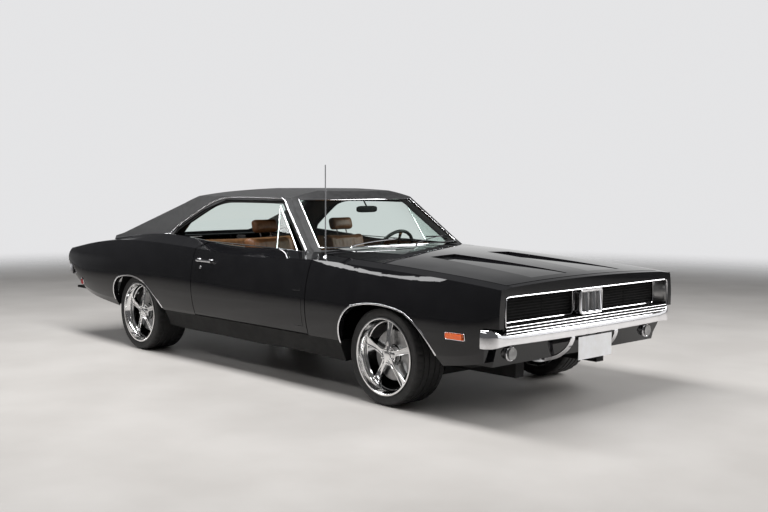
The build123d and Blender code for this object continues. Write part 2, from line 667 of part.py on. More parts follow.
PIVOT_PIN = 6
PIVOT_PLAY = 0.05
ARM_THICK = 8
LAMP_CARRIER = (720, 730)

with BuildPart() as head_door_right:
    ribbed_panel((-HEAD_DOOR_Y[1], -HEAD_DOOR_Y[0]), GRILLE_BOTTOM + 6)
    for y in (-HEAD_DOOR_Y[1] + ARM_THICK, -HEAD_DOOR_Y[0]):
        side_prism([(DOOR_PIVOT - 14, LAMP_Z - 14), (DOOR_PIVOT - 14, LAMP_Z + 14), (GRILLE_FACE - 12, LAMP_Z + 40),
                    (GRILLE_FACE - 12, LAMP_Z - 40)], (y - ARM_THICK, y))
    cross_bar(DOOR_PIVOT, LAMP_Z, PIVOT_PIN + PIVOT_PLAY, (-FAR, -HEAD_DOOR_Y[0] + 5), Mode.SUBTRACT)
save(head_door_right, "headlamp_door_right")
head_door_left = mirrored(head_door_right, "headlamp_door_left")

with BuildPart() as headlamps:
    with BuildSketch(cross_plane(LAMP_CARRIER[1])):
        with Locations((-668, LAMP_Z), (-518, LAMP_Z), (518, LAMP_Z), (668, LAMP_Z)):
            Circle(60)
    extrude(amount=88)
    bracket = 6
    edges = (HEAD_DOOR_Y[0] - 1 - bracket, HEAD_DOOR_Y[1] + 1 + bracket)
    both_blocks(LAMP_CARRIER, edges, (GRILLE_BOTTOM, LAMP_Z + 50))
    both_blocks((LAMP_CARRIER[1], DOOR_PIVOT + 10), (edges[0], edges[0] + bracket), (LAMP_Z - 10, LAMP_Z + 10))
    both_blocks((LAMP_CARRIER[1], DOOR_PIVOT + 10), (edges[1] - bracket, edges[1]), (LAMP_Z - 10, LAMP_Z + 10))
    for side in (1, -1):
        for low, high in ((edges[0], HEAD_DOOR_Y[0] + ARM_THICK), (HEAD_DOOR_Y[1] - ARM_THICK, edges[1])):
            cross_bar(DOOR_PIVOT, LAMP_Z, PIVOT_PIN, sorted((side * low, side * high)))
save(headlamps, "headlamps")

# Valance below the bumper, with the shelf under the grille
with BuildPart() as front_valance:
    side_prism([(720, 352), (850, 352), (885, 480), (720, 480)], (-822, 822))
    side_prism([(714, 372), (832, 372), (865, 485), (714, 485)], (-800, 800), Mode.SUBTRACT)
    block((865, 885), (-800, 800), (478, GRILLE_BOTTOM - 14))
    block((885, NOSE), (-822, 822), (BUMPER_Z[1], GRILLE_BOTTOM - 14))
save(front_valance, "front_valance")


# Bumpers


def bumper_bar(z_range, face, wrap, corner_y, end_y, depth, thickness=16):
    side = face / abs(face)
    with BuildSketch(Plane.XY.offset(z_range[0])) as plan:
        with BuildLine():
            for inset in (0, depth):
                shift = inset * side
                ThreePointArc((at(face - side * 46 - shift), inset - corner_y), (at(face - shift), 0),
                              (at(face - side * 46 - shift), corner_y - inset))
            for hand in (1, -1):
                ThreePointArc((at(face - side * 46), hand * corner_y),
                              (at(face - side * 66), hand * (end_y - 22)), (at(wrap), hand * end_y))
                Line((at(wrap), hand * end_y), (at(wrap), hand * (end_y - thickness)))
                ThreePointArc((at(wrap), hand * (end_y - thickness)),
                              (at(face - side * 88), hand * (end_y - 34 - thickness)),
                              (at(face - side * (46 + depth)), hand * (corner_y - depth)))
        make_face()
    extrude(plan.sketch, amount=z_range[1] - z_range[0])


# Front bumper with taller wrapped ends, a plate bracket and two arms that run down to the valance
END_FLARE_Y = 868
BUMPER_ARM = [(950, 196, 496), (957, 214, 458), (948, 262, 410), (934, 318, 362), (905, 372, 344), (872, 400, 356)]
ARM_ROUND = 13
PLATE_BACK = FRONT_OVERHANG - 8
with BuildPart() as bumper_ends:
    bumper_bar(BUMPER_END_Z, FRONT_OVERHANG, 862, 862, 948, 40)
    block((800, 1000), (-END_FLARE_Y, END_FLARE_Y), (400, 700), Mode.SUBTRACT)

with BuildPart() as front_bumper:
    bumper_bar(BUMPER_Z, FRONT_OVERHANG, 862, 862, 948, 40)
    add(bumper_ends.part)
    block((PLATE_BACK - 16, PLATE_BACK), (-60, 60), (400, BUMPER_Z[0]))
    for side in (1, -1):
        with BuildLine() as arm_line:
            Spline([(at(s), side * y, z) for s, y, z in BUMPER_ARM])
        with BuildSketch(Plane(origin=arm_line.line @ 0, z_dir=arm_line.line % 0)) as arm_end:
            Circle(ARM_ROUND)
        sweep(arm_end.sketch, path=arm_line.line)
    add(front_valance.part, mode=Mode.SUBTRACT)
save(front_bumper, "front_bumper")

with BuildPart() as rear_bumper:
    bumper_bar((560, 640), TAIL, TAIL + 170, 850, 920, 40)
    add(body_form.part, mode=Mode.SUBTRACT)
save(rear_bumper, "rear_bumper")

# Lamps, markers and plate
with BuildPart() as parking_lamps:
    for side in (1, -1):
        with BuildSketch(cross_plane(850)):
            with Locations((side * 700, 424)):
                Circle(36)
        extrude(amount=50)
    add(front_valance.part, mode=Mode.SUBTRACT)
    block((700, 871), (-FAR, FAR), (300, 500), Mode.SUBTRACT)
save(parking_lamps, "parking_lamps")

with BuildPart() as number_plate:
    block((PLATE_BACK, PLATE_BACK + 2), (-172, 172), (334, 474))
save(number_plate, "number_plate")

with BuildPart() as side_markers:
    both_blocks((593, 722), (925, 945), (507, 537))
    add(body_form.part, mode=Mode.SUBTRACT)
save(side_markers, "side_markers")

MARKER_AT = (-3949, 505)
MARKER_RADIUS = 27
with BuildPart() as rear_markers:
    for y_range in ((-923, -880), (880, 923)):
        cross_bar(MARKER_AT[0], MARKER_AT[1], MARKER_RADIUS, y_range)
    add(body_form.part, mode=Mode.SUBTRACT)
save(rear_markers, "rear_markers")

# Fuel filler cap on the left quarter
CAP_AT = (-3700, 812, 868)
CAP_RADIUS = 58
with BuildPart() as fuel_cap:
    with Locations(Location((at(CAP_AT[0]), CAP_AT[1], CAP_AT[2]), (-10, 4, 0))):
        Cylinder(CAP_RADIUS, 24, align=(Align.CENTER, Align.CENTER, Align.MIN))
    with Locations(Location((at(CAP_AT[0]), CAP_AT[1], CAP_AT[2]), (-10, 4, 0))):
        Cylinder(CAP_RADIUS * 0.6, 30, align=(Align.CENTER, Align.CENTER, Align.MIN))
    add(body_form.part, mode=Mode.SUBTRACT)
save(fuel_cap, "fuel_cap")

# Cabin
STEER_AXIS = Vector(-math.cos(math.radians(STEER_RAKE)), 0, math.sin(math.radians(STEER_RAKE)))
steer_plane = Plane(origin=(at(STEER_WHEEL_S), STEER_WHEEL_Y, STEER_WHEEL_Z), x_dir=(0, 1, 0), z_dir=STEER_AXIS)
with BuildPart() as steering_wheel:
    with BuildSketch(Plane(origin=steer_plane.origin, x_dir=steer_plane.x_dir, z_dir=steer_plane.y_dir)):
        with Locations((STEER_WHEEL_RADIUS, 0)):
            Circle(13)
    revolve(axis=Axis(steer_plane.origin, STEER_AXIS))
    with BuildSketch(steer_plane):
        Circle(42)
        with PolarLocations(0, 3, start_angle=-90):
            with Locations((STEER_WHEEL_RADIUS / 2, 0)):
                Rectangle(STEER_WHEEL_RADIUS, 24)
    extrude(amount=-14)
save(steering_wheel, "steering_wheel")

with BuildPart() as dashboard:
    side_prism([(-875, 700), (-875, 905), (-980, 905), (-1050, 860), (-1010, 700)], (-685, 685))
    with BuildSketch(steer_plane.offset(-14.5)):
        Circle(32)
    extrude(amount=-220)
    side_prism([(-1080, TUNNEL_TOP), (-1010, 700), (-960, 700), (-980, TUNNEL_TOP)], (-110, 110))
save(dashboard, "dashboard")


SEAT_Y = 395
SEAT_HALF = 235


def front_seat(y):
    block((-1760, -1260), (y - SEAT_HALF, y + SEAT_HALF), (FLOOR_TOP, 470))
    side_prism([(-1640, 470), (-1790, 470), (-1930, 985), (-1830, 1000)], (y - SEAT_HALF, y + SEAT_HALF))
    side_prism([(-1835, 1000), (-1925, 986), (-1950, 1110), (-1875, 1120)], (y - 125, y + 125))


with BuildPart() as front_seats:
    front_seat(-SEAT_Y)
    front_seat(SEAT_Y)
save(front_seats, "front_seats")

with BuildPart() as rear_seat:
    side_prism([(-2200, FLOOR_TOP), (-2200, 500), (-2510, KICK_TOP + 10), (-2510, KICK_TOP), (-2519, KICK_TOP),
                (-2519, FLOOR_TOP)], (-570, 570))
    block((-2520, -2190), (-150, 150), (FLOOR_TOP - 5, TUNNEL_TOP), Mode.SUBTRACT)
    side_prism([(-2520, KICK_TOP), (-2730, KICK_TOP), (-2800, 850), (-2700, 850)], (-570, 570))
save(rear_seat, "rear_seat")

# Rear axle with leaf springs and drive shaft
with BuildPart() as rear_axle:
    rear_hub_y = REAR_WHEEL_Y + REAR_TYRE_WIDTH / 2 - RIM_DEPTH - 40
    cross_bar(-WHEELBASE, AXLE_HEIGHT, 40, (-rear_hub_y + 1, rear_hub_y - 1))
    cross_bar(-WHEELBASE, AXLE_HEIGHT, SPINDLE_RADIUS, (-rear_hub_y - 55, rear_hub_y + 55))
    with Locations((at(-WHEELBASE), 0, AXLE_HEIGHT)):
        Sphere(115)
    both_blocks((-3500, KICK_FRONT - 6), (500, 560), (250, 285))
    both_blocks((-3020, -2920), (490, 570), (240, 330))
    both_blocks((KICK_FRONT - 36, KICK_FRONT - 8), (505, 555), (285, KICK_TOP - 20))
    both_blocks((-3495, -3465), (505, 555), (285, TRUNK_FLOOR_TOP - 20))
    with BuildSketch(cross_plane(-WHEELBASE + 60)):
        with Locations((0, AXLE_HEIGHT)):
            Circle(38)
    extrude(amount=WHEELBASE - 60 + GEARBOX_REAR)
save(rear_axle, "rear_axle")

with BuildPart() as fuel_tank:
    block((-4020, -3480), (-400, 400), (290, TRUNK_FLOOR_TOP - 20))
save(fuel_tank, "fuel_tank")

# Exhaust: front pipes, mufflers and tail pipes that rise over the axle
PIPE_RADIUS = 24
TAIL_PIPE = [(-2320, 330, 183), (-2480, 385, 180), (-2600, 440, 205), (-2760, 446, 345), (-2972, 446, 408),
             (-3180, 446, 392), (-3400, 446, 318), (-3620, 446, 290), (-3900, 446, 290), (-4170, 446, 290)]
with BuildPart() as exhaust:
    for side in (1, -1):
        with BuildSketch(cross_plane(-2450)):
            with Locations((side * 300, 190)):
                Circle(30)
        extrude(amount=1900)
        block((-2350, -1850), sorted((side * 210, side * 390)), (140, FLOOR_TOP - 20))
        with BuildLine() as pipe_line:
            Spline([(at(s), side * y, z) for s, y, z in TAIL_PIPE])
        with BuildSketch(Plane(origin=pipe_line.line @ 0, z_dir=pipe_line.line % 0)) as pipe_end:
            Circle(PIPE_RADIUS)
        sweep(pipe_end.sketch, path=pipe_line.line)
save(exhaust, "exhaust")

# Small outside and inside fittings
with BuildPart() as wipers:
    for y in (-250, 330):
        block((-690, -670), (y - 240, y + 240), (952, 960))
        block((-690, -670), (y - 250, y - 230), (930, 960))
    add(body_form.part, mode=Mode.SUBTRACT)
save(wipers, "wipers")

with BuildPart() as antenna:
    with BuildSketch(Plane.XY.offset(900)):
        with Locations((at(-640), -815)):
            Circle(4)
    extrude(amount=620)
    add(body_form.part, mode=Mode.SUBTRACT)
save(antenna, "antenna")

with BuildPart() as inner_mirror:
    block((-1135, -1120), (-110, 110), (1176, 1226))
    side_prism([(-1135, 1220), (-1122, 1226), (-1200, 1325), (-1230, 1325)], (-8, 8))
    add(roof_shell.part, mode=Mode.SUBTRACT)
save(inner_mirror, "inner_mirror")
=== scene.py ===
import cmath
import json
import math
import bmesh
import bpy
from mathutils import Matrix, Vector
from mathutils.bvhtree import BVHTree


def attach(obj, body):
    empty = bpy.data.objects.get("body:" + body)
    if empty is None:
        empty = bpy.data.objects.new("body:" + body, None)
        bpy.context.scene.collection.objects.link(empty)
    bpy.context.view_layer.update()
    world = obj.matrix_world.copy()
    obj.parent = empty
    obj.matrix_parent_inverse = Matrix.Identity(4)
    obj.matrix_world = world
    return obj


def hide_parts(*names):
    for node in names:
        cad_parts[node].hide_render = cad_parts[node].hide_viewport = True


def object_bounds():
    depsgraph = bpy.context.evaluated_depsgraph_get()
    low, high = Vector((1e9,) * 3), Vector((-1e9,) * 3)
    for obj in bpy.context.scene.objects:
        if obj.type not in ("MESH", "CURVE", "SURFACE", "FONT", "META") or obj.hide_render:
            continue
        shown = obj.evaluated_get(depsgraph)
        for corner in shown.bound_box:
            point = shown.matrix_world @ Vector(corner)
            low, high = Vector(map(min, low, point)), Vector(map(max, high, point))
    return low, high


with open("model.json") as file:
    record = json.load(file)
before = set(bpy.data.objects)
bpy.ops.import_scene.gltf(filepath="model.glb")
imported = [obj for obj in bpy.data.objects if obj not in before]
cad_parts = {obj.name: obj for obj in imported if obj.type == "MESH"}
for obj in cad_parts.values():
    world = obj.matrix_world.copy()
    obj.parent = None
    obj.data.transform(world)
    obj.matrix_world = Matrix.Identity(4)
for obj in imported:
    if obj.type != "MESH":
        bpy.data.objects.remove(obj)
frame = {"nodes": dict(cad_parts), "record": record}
cad_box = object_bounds()
NODES = frame["nodes"]
scene = bpy.context.scene

# A station s is a distance in millimetres ahead of the front axle; y and z are as in the frame.
AXLE_X = 1.6615
WHEELBASE = 2972
NOSE_S = 955
HALF_NOSE = 800
HALF_WIDTH = cad_box[1][1]

BODY = "body"
CHROME = "chrome_trim"
BLACK = "black_grille"
LEATHER = "tan_leather"
STEEL = "exhaust_steel"
SIDES = {-1: "right", 1: "left"}
FORWARD = Vector((1, 0, 0))
LEFT = Vector((0, 1, 0))
UP = Vector((0, 0, 1))


def mm(s, y, z):
    """The point at a station, y and z in millimetres, in the frame's metres."""
    return Vector((AXLE_X + s / 1000, y / 1000, z / 1000))


def spaced(start, end, count):
    """Even steps from start to end, with both of them."""
    return [start + (end - start) * i / count for i in range(count + 1)]


def add_object(name, data):
    obj = bpy.data.objects.new(name, data)
    scene.collection.objects.link(obj)
    return obj


# Shader helpers
def new_material(name):
    mat = bpy.data.materials.new(name)
    mat.use_nodes = True
    tree = mat.node_tree
    return mat, tree, tree.nodes["Principled BSDF"]


def bump_noise(tree, shader, scale, strength, distance=0.001, kind="noise"):
    coords = tree.nodes.new("ShaderNodeTexCoord")
    if kind == "noise":
        tex = tree.nodes.new("ShaderNodeTexNoise")
        tex.inputs["Detail"].default_value = 3.0
        out = tex.outputs["Fac"]
    else:
        tex = tree.nodes.new("ShaderNodeTexVoronoi")
        out = tex.outputs["Distance"]
    tex.inputs["Scale"].default_value = scale
    tree.links.new(coords.outputs["Object"], tex.inputs["Vector"])
    bump = tree.nodes.new("ShaderNodeBump")
    bump.inputs["Strength"].default_value = strength
    bump.inputs["Distance"].default_value = distance
    tree.links.new(out, bump.inputs["Height"])
    tree.links.new(bump.outputs["Normal"], shader.inputs["Normal"])


def vary(tree, shader, socket, scale, low, high):
    coords = tree.nodes.new("ShaderNodeTexCoord")
    tex = tree.nodes.new("ShaderNodeTexNoise")
    tex.inputs["Scale"].default_value = scale
    tex.inputs["Detail"].default_value = 4.0
    tree.links.new(coords.outputs["Object"], tex.inputs["Vector"])
    ramp = tree.nodes.new("ShaderNodeValToRGB")
    ramp.color_ramp.elements[0].position = 0.35
    ramp.color_ramp.elements[1].position = 0.65
    ramp.color_ramp.elements[0].color = low
    ramp.color_ramp.elements[1].color = high
    tree.links.new(tex.outputs["Fac"], ramp.inputs["Fac"])
    tree.links.new(ramp.outputs["Color"], shader.inputs[socket])


def map_range(tree, source, from_range, to_range, easing):
    node = tree.nodes.new("ShaderNodeMapRange")
    node.interpolation_type = easing
    node.inputs["From Min"].default_value, node.inputs["From Max"].default_value = from_range
    node.inputs["To Min"].default_value, node.inputs["To Max"].default_value = to_range
    tree.links.new(source, node.inputs["Value"])
    return node.outputs["Result"]


def mix_shaders(tree, share, first, second, output="Material Output"):
    """Links first and second, mixed by share, to the output's surface."""
    mix = tree.nodes.new("ShaderNodeMixShader")
    tree.links.new(share, mix.inputs["Fac"])
    tree.links.new(first, mix.inputs[1])
    tree.links.new(second, mix.inputs[2])
    tree.links.new(mix.outputs["Shader"], tree.nodes[output].inputs["Surface"])


def combine(tree, operation, first, second):
    node = tree.nodes.new("ShaderNodeMath")
    node.operation = operation
    tree.links.new(first, node.inputs[0])
    tree.links.new(second, node.inputs[1])
    return node.outputs["Value"]


def grey(v):
    return (v, v, v, 1)


# Materials
def make_plain(name, low, high, roughness, metallic=0.0, scale=20.0, bump=None, coat=0.0, coat_roughness=0.03,
               specular=0.5):
    """A finish whose colour drifts between low and high; bump holds the arguments of bump_noise."""
    mat, tree, bsdf = new_material(name)
    vary(tree, bsdf, "Base Color", scale, low, high)
    if bump:
        bump_noise(tree, bsdf, *bump)
    bsdf.inputs["Roughness"].default_value = roughness
    bsdf.inputs["Metallic"].default_value = metallic
    bsdf.inputs["Coat Weight"].default_value = coat
    bsdf.inputs["Coat Roughness"].default_value = coat_roughness
    bsdf.inputs["Specular IOR Level"].default_value = specular
    return mat


def make_glass():
    """Clear when seen straight on, and glossier towards a grazing view."""
    mat, tree, bsdf = new_material("clear_glass")
    tree.nodes.remove(bsdf)
    clear = tree.nodes.new("ShaderNodeBsdfTransparent")
    clear.inputs["Color"].default_value = (0.88, 0.93, 0.91, 1)
    gloss = tree.nodes.new("ShaderNodeBsdfGlossy")
    gloss.inputs["Roughness"].default_value = 0.0
    gloss.inputs["Color"].default_value = grey(1.0)
    facing = tree.nodes.new("ShaderNodeLayerWeight")
    facing.inputs["Blend"].default_value = 0.5
    edge = map_range(tree, facing.outputs["Facing"], (0.55, 1.0), (0.035, 0.65), "SMOOTHERSTEP")
    mix_shaders(tree, edge, clear.outputs["BSDF"], gloss.outputs["BSDF"])
    return mat


MATS = {
    "paint": make_plain("gloss_black_paint", (0.006, 0.006, 0.007, 1), (0.008, 0.008, 0.009, 1), 0.5, scale=9,
                        coat=0.85, coat_roughness=0.02, specular=0.0),
    "vinyl_roof": make_plain("grained_vinyl", (0.020, 0.020, 0.021, 1), (0.034, 0.034, 0.035, 1), 0.42,
                             scale=30, bump=(900, 0.35, 0.0008, "voronoi"), specular=0.6),
    "argent": make_plain("silver_grey_finish", grey(0.30), grey(0.36), 0.32, 0.7),
    "underbody": make_plain("underbody_black", grey(0.008), grey(0.016), 0.6, scale=12, bump=(60, 0.2, 0.001),
                            specular=0.15),
    "engine_metal": make_plain("engine_block_paint", grey(0.06), grey(0.10), 0.5, 0.6),
    "black_grille": make_plain("grille_black", grey(0.006), grey(0.010), 0.55, specular=0.12),
    "chrome_trim": make_plain("bright_chrome", (0.80, 0.80, 0.82, 1), (0.86, 0.86, 0.88, 1), 0.07, 1.0),
    "red_lens": make_plain("red_lens", (0.30, 0.004, 0.004, 1), (0.42, 0.008, 0.006, 1), 0.10, coat=1.0),
    "amber_lens": make_plain("orange_lens", (0.95, 0.12, 0.008, 1), (1.0, 0.18, 0.012, 1), 0.15, coat=1.0),
    "plate_white": make_plain("plain_white_plate", grey(0.80), (0.85, 0.86, 0.88, 1), 0.35),
    "clear_glass": make_glass(),
    "lamp_glass": make_plain("lamp_glass", grey(0.16), grey(0.30), 0.12, 0.5, coat=1.0),
    "tan_leather": make_plain("saddle_leather", (0.16, 0.065, 0.022, 1), (0.23, 0.098, 0.036, 1), 0.45,
                              scale=35, bump=(700, 0.25, 0.0006)),
    "dash_plastic": make_plain("dash_black", grey(0.012), grey(0.020), 0.45, bump=(800, 0.25, 0.0005)),
    "exhaust_steel": make_plain("exhaust_steel", grey(0.25), grey(0.38), 0.35, 1.0),
    "polished_rim": make_plain("polished_alloy", grey(0.82), grey(0.90), 0.10, 1.0),
    "tyre_rubber": make_plain("tyre_rubber", grey(0.012), grey(0.020), 0.62, scale=40,
                              bump=(500, 0.2, 0.0006)),
}

for row in frame["record"]["subparts"]:
    obj = NODES[row["node"]]
    obj.data.materials.clear()
    obj.data.materials.append(MATS[row["material_slot"]])



# Stage: floor, sky, lights and camera
FLOOR_SIZE = 30
FLOOR_FADE = (7.5, 14.0)
BRIGHT_SIDE = (-0.73, 0.68, 0.06)


def make_floor():
    mat, tree, bsdf = new_material("studio_floor")
    vary(tree, bsdf, "Base Color", 1.2, (0.46, 0.44, 0.42, 1), (0.52, 0.50, 0.48, 1))
    bsdf.inputs["Roughness"].default_value = 0.45
    bsdf.inputs["Specular IOR Level"].default_value = 0.3
    geometry = tree.nodes.new("ShaderNodeNewGeometry")
    reach = tree.nodes.new("ShaderNodeVectorMath")
    reach.operation = "LENGTH"
    tree.links.new(geometry.outputs["Position"], reach.inputs[0])
    fade = map_range(tree, reach.outputs["Value"], FLOOR_FADE, (0.0, 1.0), "SMOOTHSTEP")
    open_air = tree.nodes.new("ShaderNodeBsdfTransparent")
    mix_shaders(tree, fade, bsdf.outputs["BSDF"], open_air.outputs["BSDF"])
    bpy.ops.mesh.primitive_plane_add(size=FLOOR_SIZE, location=(0, 0, 0))
    floor = bpy.context.object
    floor.name = "studio_floor"
    floor.data.materials.append(mat)


def make_world():
    """A pale backdrop; what the car reflects gets lighter to one side and low down."""
    world = bpy.data.worlds.new("studio_world")
    scene.world = world
    world.use_nodes = True
    tree = world.node_tree
    background = tree.nodes["Background"]
    background.inputs["Strength"].default_value = 1.0
    direction = tree.nodes.new("ShaderNodeTexCoord")
    toward = tree.nodes.new("ShaderNodeVectorMath")
    toward.operation = "DOT_PRODUCT"
    toward.inputs[1].default_value = BRIGHT_SIDE
    tree.links.new(direction.outputs["Generated"], toward.inputs[0])
    spread = map_range(tree, toward.outputs["Value"], (-1.0, 1.0), (0.0, 1.0), "LINEAR")
    height = tree.nodes.new("ShaderNodeSeparateXYZ")
    tree.links.new(direction.outputs["Generated"], height.inputs["Vector"])
    low_sky = map_range(tree, height.outputs["Z"], (0.10, 0.38), (1.0, 0.70), "SMOOTHSTEP")
    shade = tree.nodes.new("ShaderNodeValToRGB")
    shade.color_ramp.elements[0].position = 0.70
    shade.color_ramp.elements[0].color = (0.10, 0.10, 0.102, 1)
    shade.color_ramp.elements[1].position = 0.99
    shade.color_ramp.elements[1].color = (0.80, 0.80, 0.80, 1)
    tree.links.new(combine(tree, "MULTIPLY", spread, low_sky), shade.inputs["Fac"])
    tree.links.new(shade.outputs["Color"], background.inputs["Color"])
    backdrop = tree.nodes.new("ShaderNodeBackground")
    backdrop.inputs["Color"].default_value = (0.78, 0.78, 0.79, 1)
    backdrop.inputs["Strength"].default_value = 1.0
    path = tree.nodes.new("ShaderNodeLightPath")
    seen = combine(tree, "MAXIMUM", path.outputs["Is Camera Ray"], path.outputs["Is Transmission Ray"])
    mix_shaders(tree, seen, background.outputs["Background"], backdrop.outputs["Background"], "World Output")


def area_light(name, place, target, size, power):
    data = bpy.data.lights.new(name, "AREA")
    data.shape = "RECTANGLE"
    data.size, data.size_y = size
    data.energy = power
    lamp = add_object(name, data)
    lamp.location = place
    lamp.visible_camera = False
    lamp.rotation_euler = (Vector(target) - Vector(place)).to_track_quat("-Z", "Y").to_euler()


make_floor()
make_world()
area_light("overhead_softbox", (-0.3, -1.5, 5.2), (-0.3, -0.2, 0), (7.5, 1.5), 500)
area_light("side_strip", (-1.5, -4.6, 4.0), (-1.0, 0, 0.6), (14.0, 0.3), 110)
area_light("front_fill", (8.2, 6.8, 1.6), (2.2, 0, 0.5), (7.0, 3.0), 60)
area_light("front_key", (5.8, 4.6, 3.9), (2.4, 0, 0.5), (5.5, 3.0), 400)

# The camera that was fitted to the photo
CAMERA_AT = Vector((6.2842, -5.1989, 1.4073))
YAW, PITCH, ROLL = math.radians(136.907), math.radians(-4.160), math.radians(0.175)
FOCAL_PX = 1018.11
PHOTO_WIDTH_PX = 768
SENSOR_WIDTH = 36


def make_camera():
    data = bpy.data.cameras.new("camera")
    camera = add_object("camera", data)
    forward = Vector((math.cos(PITCH) * math.cos(YAW), math.cos(PITCH) * math.sin(YAW), math.sin(PITCH)))
    level_right = forward.cross(UP).normalized()
    level_up = level_right.cross(forward)
    right = math.cos(ROLL) * level_right + math.sin(ROLL) * level_up
    up = -math.sin(ROLL) * level_right + math.cos(ROLL) * level_up
    camera.matrix_world = Matrix.Translation(CAMERA_AT) @ Matrix((right, up, -forward)).transposed().to_4x4()
    data.sensor_width = SENSOR_WIDTH
    data.lens = FOCAL_PX * SENSOR_WIDTH / PHOTO_WIDTH_PX
    data.clip_end = 300
    scene.camera = camera


make_camera()
scene.view_settings.view_transform = "Standard"


# Sections and outlines, as (a, b) points in millimetres
def oval(a, b, count=10):
    turns = [2 * math.pi * i / count for i in range(count)]
    return [(a * math.cos(turn), b * math.sin(turn)) for turn in turns]


def boxy_oval(a, b, power_a, power_b, count):
    """An oval whose powers below 1 push it out towards its corners."""
    points = []
    for u, v in oval(1, 1, count):
        points.append((a * math.copysign(abs(u) ** power_a, u), b * math.copysign(abs(v) ** power_b, v)))
    return points


def symmetric(*half):
    """A section from its points with b below or at 0, and the same points with b turned over."""
    return list(half) + [(a, -b) for a, b in reversed(half) if b]


def rounded_box(a0, a1, b0, b1, radius):
    """Points round a rectangle with round corners."""
    points = []
    a0, a1, b0, b1 = a0 + radius, a1 - radius, b0 + radius, b1 - radius
    for quarter, (centre_a, centre_b) in enumerate(((a1, b1), (a0, b1), (a0, b0), (a1, b0))):
        for step in range(7):
            angle = math.radians(90 * quarter + 15 * step)
            points.append((centre_a + radius * math.cos(angle), centre_b + radius * math.sin(angle)))
    return points


# Mesh tools
def make_mesh(name, verts, faces, mat, body=BODY, angle=32):
    """A piece that rides on its body, smooth up to the angle, in the material given."""
    mesh = bpy.data.meshes.new(name)
    mesh.from_pydata([tuple(v) for v in verts], [], faces)
    bm = bmesh.new()
    bm.from_mesh(mesh)
    bmesh.ops.recalc_face_normals(bm, faces=bm.faces)
    bm.to_mesh(mesh)
    bm.free()
    mesh.materials.append(MATS[mat])
    mesh.shade_smooth()
    mesh.set_sharp_from_angle(angle=math.radians(angle))
    obj = add_object(name, mesh)
    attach(obj, body)
    return obj


def ring_faces(rows, count, closed_rows=False, closed_ring=True):
    """Faces of a grid of rows with so many points each; an open row of rings gets its two ends closed."""
    faces = []
    last = rows if closed_rows else rows - 1
    span = count if closed_ring else count - 1
    for i in range(last):
        j = (i + 1) % rows
        for k in range(span):
            m = (k + 1) % count
            faces.append((i * count + k, i * count + m, j * count + m, j * count + k))
    if closed_ring and not closed_rows:
        faces.append(tuple(range(count))[::-1])
        faces.append(tuple((rows - 1) * count + k for k in range(count)))
    return faces


def sweep_data(points, section, outward, closed=False):
    """Section points (a, b) in mm: a along the outward direction, b across it and the path."""
    verts = []
    count = len(points)
    for i, point in enumerate(points):
        ahead = points[(i + 1) % count] if closed or i < count - 1 else point
        behind = points[i - 1] if closed or i > 0 else point
        tangent = (ahead - behind).normalized()
        out = outward[i] if isinstance(outward, list) else outward
        out = (out - out.dot(tangent) * tangent).normalized()
        across = tangent.cross(out)
        for a, b in section:
            verts.append(point + out * (a / 1000) + across * (b / 1000))
    return verts, ring_faces(count, len(section), closed)


def smooth_path(points, steps):
    """Catmull-Rom points through the given ones."""
    result = []
    last = len(points) - 1
    for i in range(last):
        p1, p2 = points[i], points[i + 1]
        p0 = points[i - 1] if i > 0 else p1
        p3 = points[i + 2] if i < last - 1 else p2
        for step in range(steps):
            t = step / steps
            result.append(0.5 * (2 * p1 + (p2 - p0) * t + (2 * p0 - 5 * p1 + 4 * p2 - p3) * t * t
                                 + (3 * p1 - 3 * p2 + p3 - p0) * t ** 3))
    return result + [points[-1]]


def strip(name, points, section, outward, mat, body=BODY, closed=False):
    verts, faces = sweep_data(points, section, outward, closed)
    return make_mesh(name, verts, faces, mat, body, 40)


def merged(name, parts, mat, body=BODY, angle=32):
    verts, faces = [], []
    for part_verts, part_faces in parts:
        base = len(verts)
        verts.extend(part_verts)
        faces.extend(tuple(base + i for i in face) for face in part_faces)
    return make_mesh(name, verts, faces, mat, body, angle)


def lathe(profile, segments, depth_cut=None):
    """Turns (radius, height) points about the local z axis. The profile is closed too."""
    verts = []
    for k in range(segments):
        angle = 2 * math.pi * k / segments
        for index, (radius, height) in enumerate(profile):
            r = radius - (depth_cut(index, k) if depth_cut else 0)
            verts.append(Vector((r * math.cos(angle), r * math.sin(angle), height)))
    return verts, ring_faces(segments, len(profile), True)


def radial(turn, radius, across, height):
    """A point at a radius along the turn and so far across it."""
    return Vector((radius * math.cos(turn) - across * math.sin(turn),
                   radius * math.sin(turn) + across * math.cos(turn), height))


def placed(data, place):
    verts, faces = data
    return [place(v) for v in verts], faces


def facing_forward(s, y, z):
    """Places a turned piece with its axis along the car."""
    return lambda v: mm(s + v.z, y + v.x, z + v.y)


# The CAD's outer skin, which the side trim lies on
def skin_tree(names):
    verts, faces = [], []
    for name in names:
        mesh = NODES[name].data
        base = len(verts)
        verts.extend(v.co.copy() for v in mesh.vertices)
        faces.extend(tuple(base + i for i in p.vertices) for p in mesh.polygons)
    return BVHTree.FromPolygons(verts, faces)


SKIN = {side: skin_tree([f"{panel}_{name}" for panel in ("fender", "door", "quarter")])
        for side, name in SIDES.items()}


def on_skin(s, z, side, lift=0.0):
    """The point on the body side and its direction outward; it looks a little to each side of a gap."""
    start = mm(s, side * 1100, z)
    for shift in (0, 6, -6, 12, -12):
        place, normal, _, _ = SKIN[side].ray_cast(start + FORWARD * (shift / 1000), -side * LEFT)
        if place is not None and abs(place.y) > 0.80:
            out = normal.normalized() * math.copysign(1, normal.y * side)
            return Vector((start.x, place.y, place.z)) + out * (lift / 1000), out
    return None


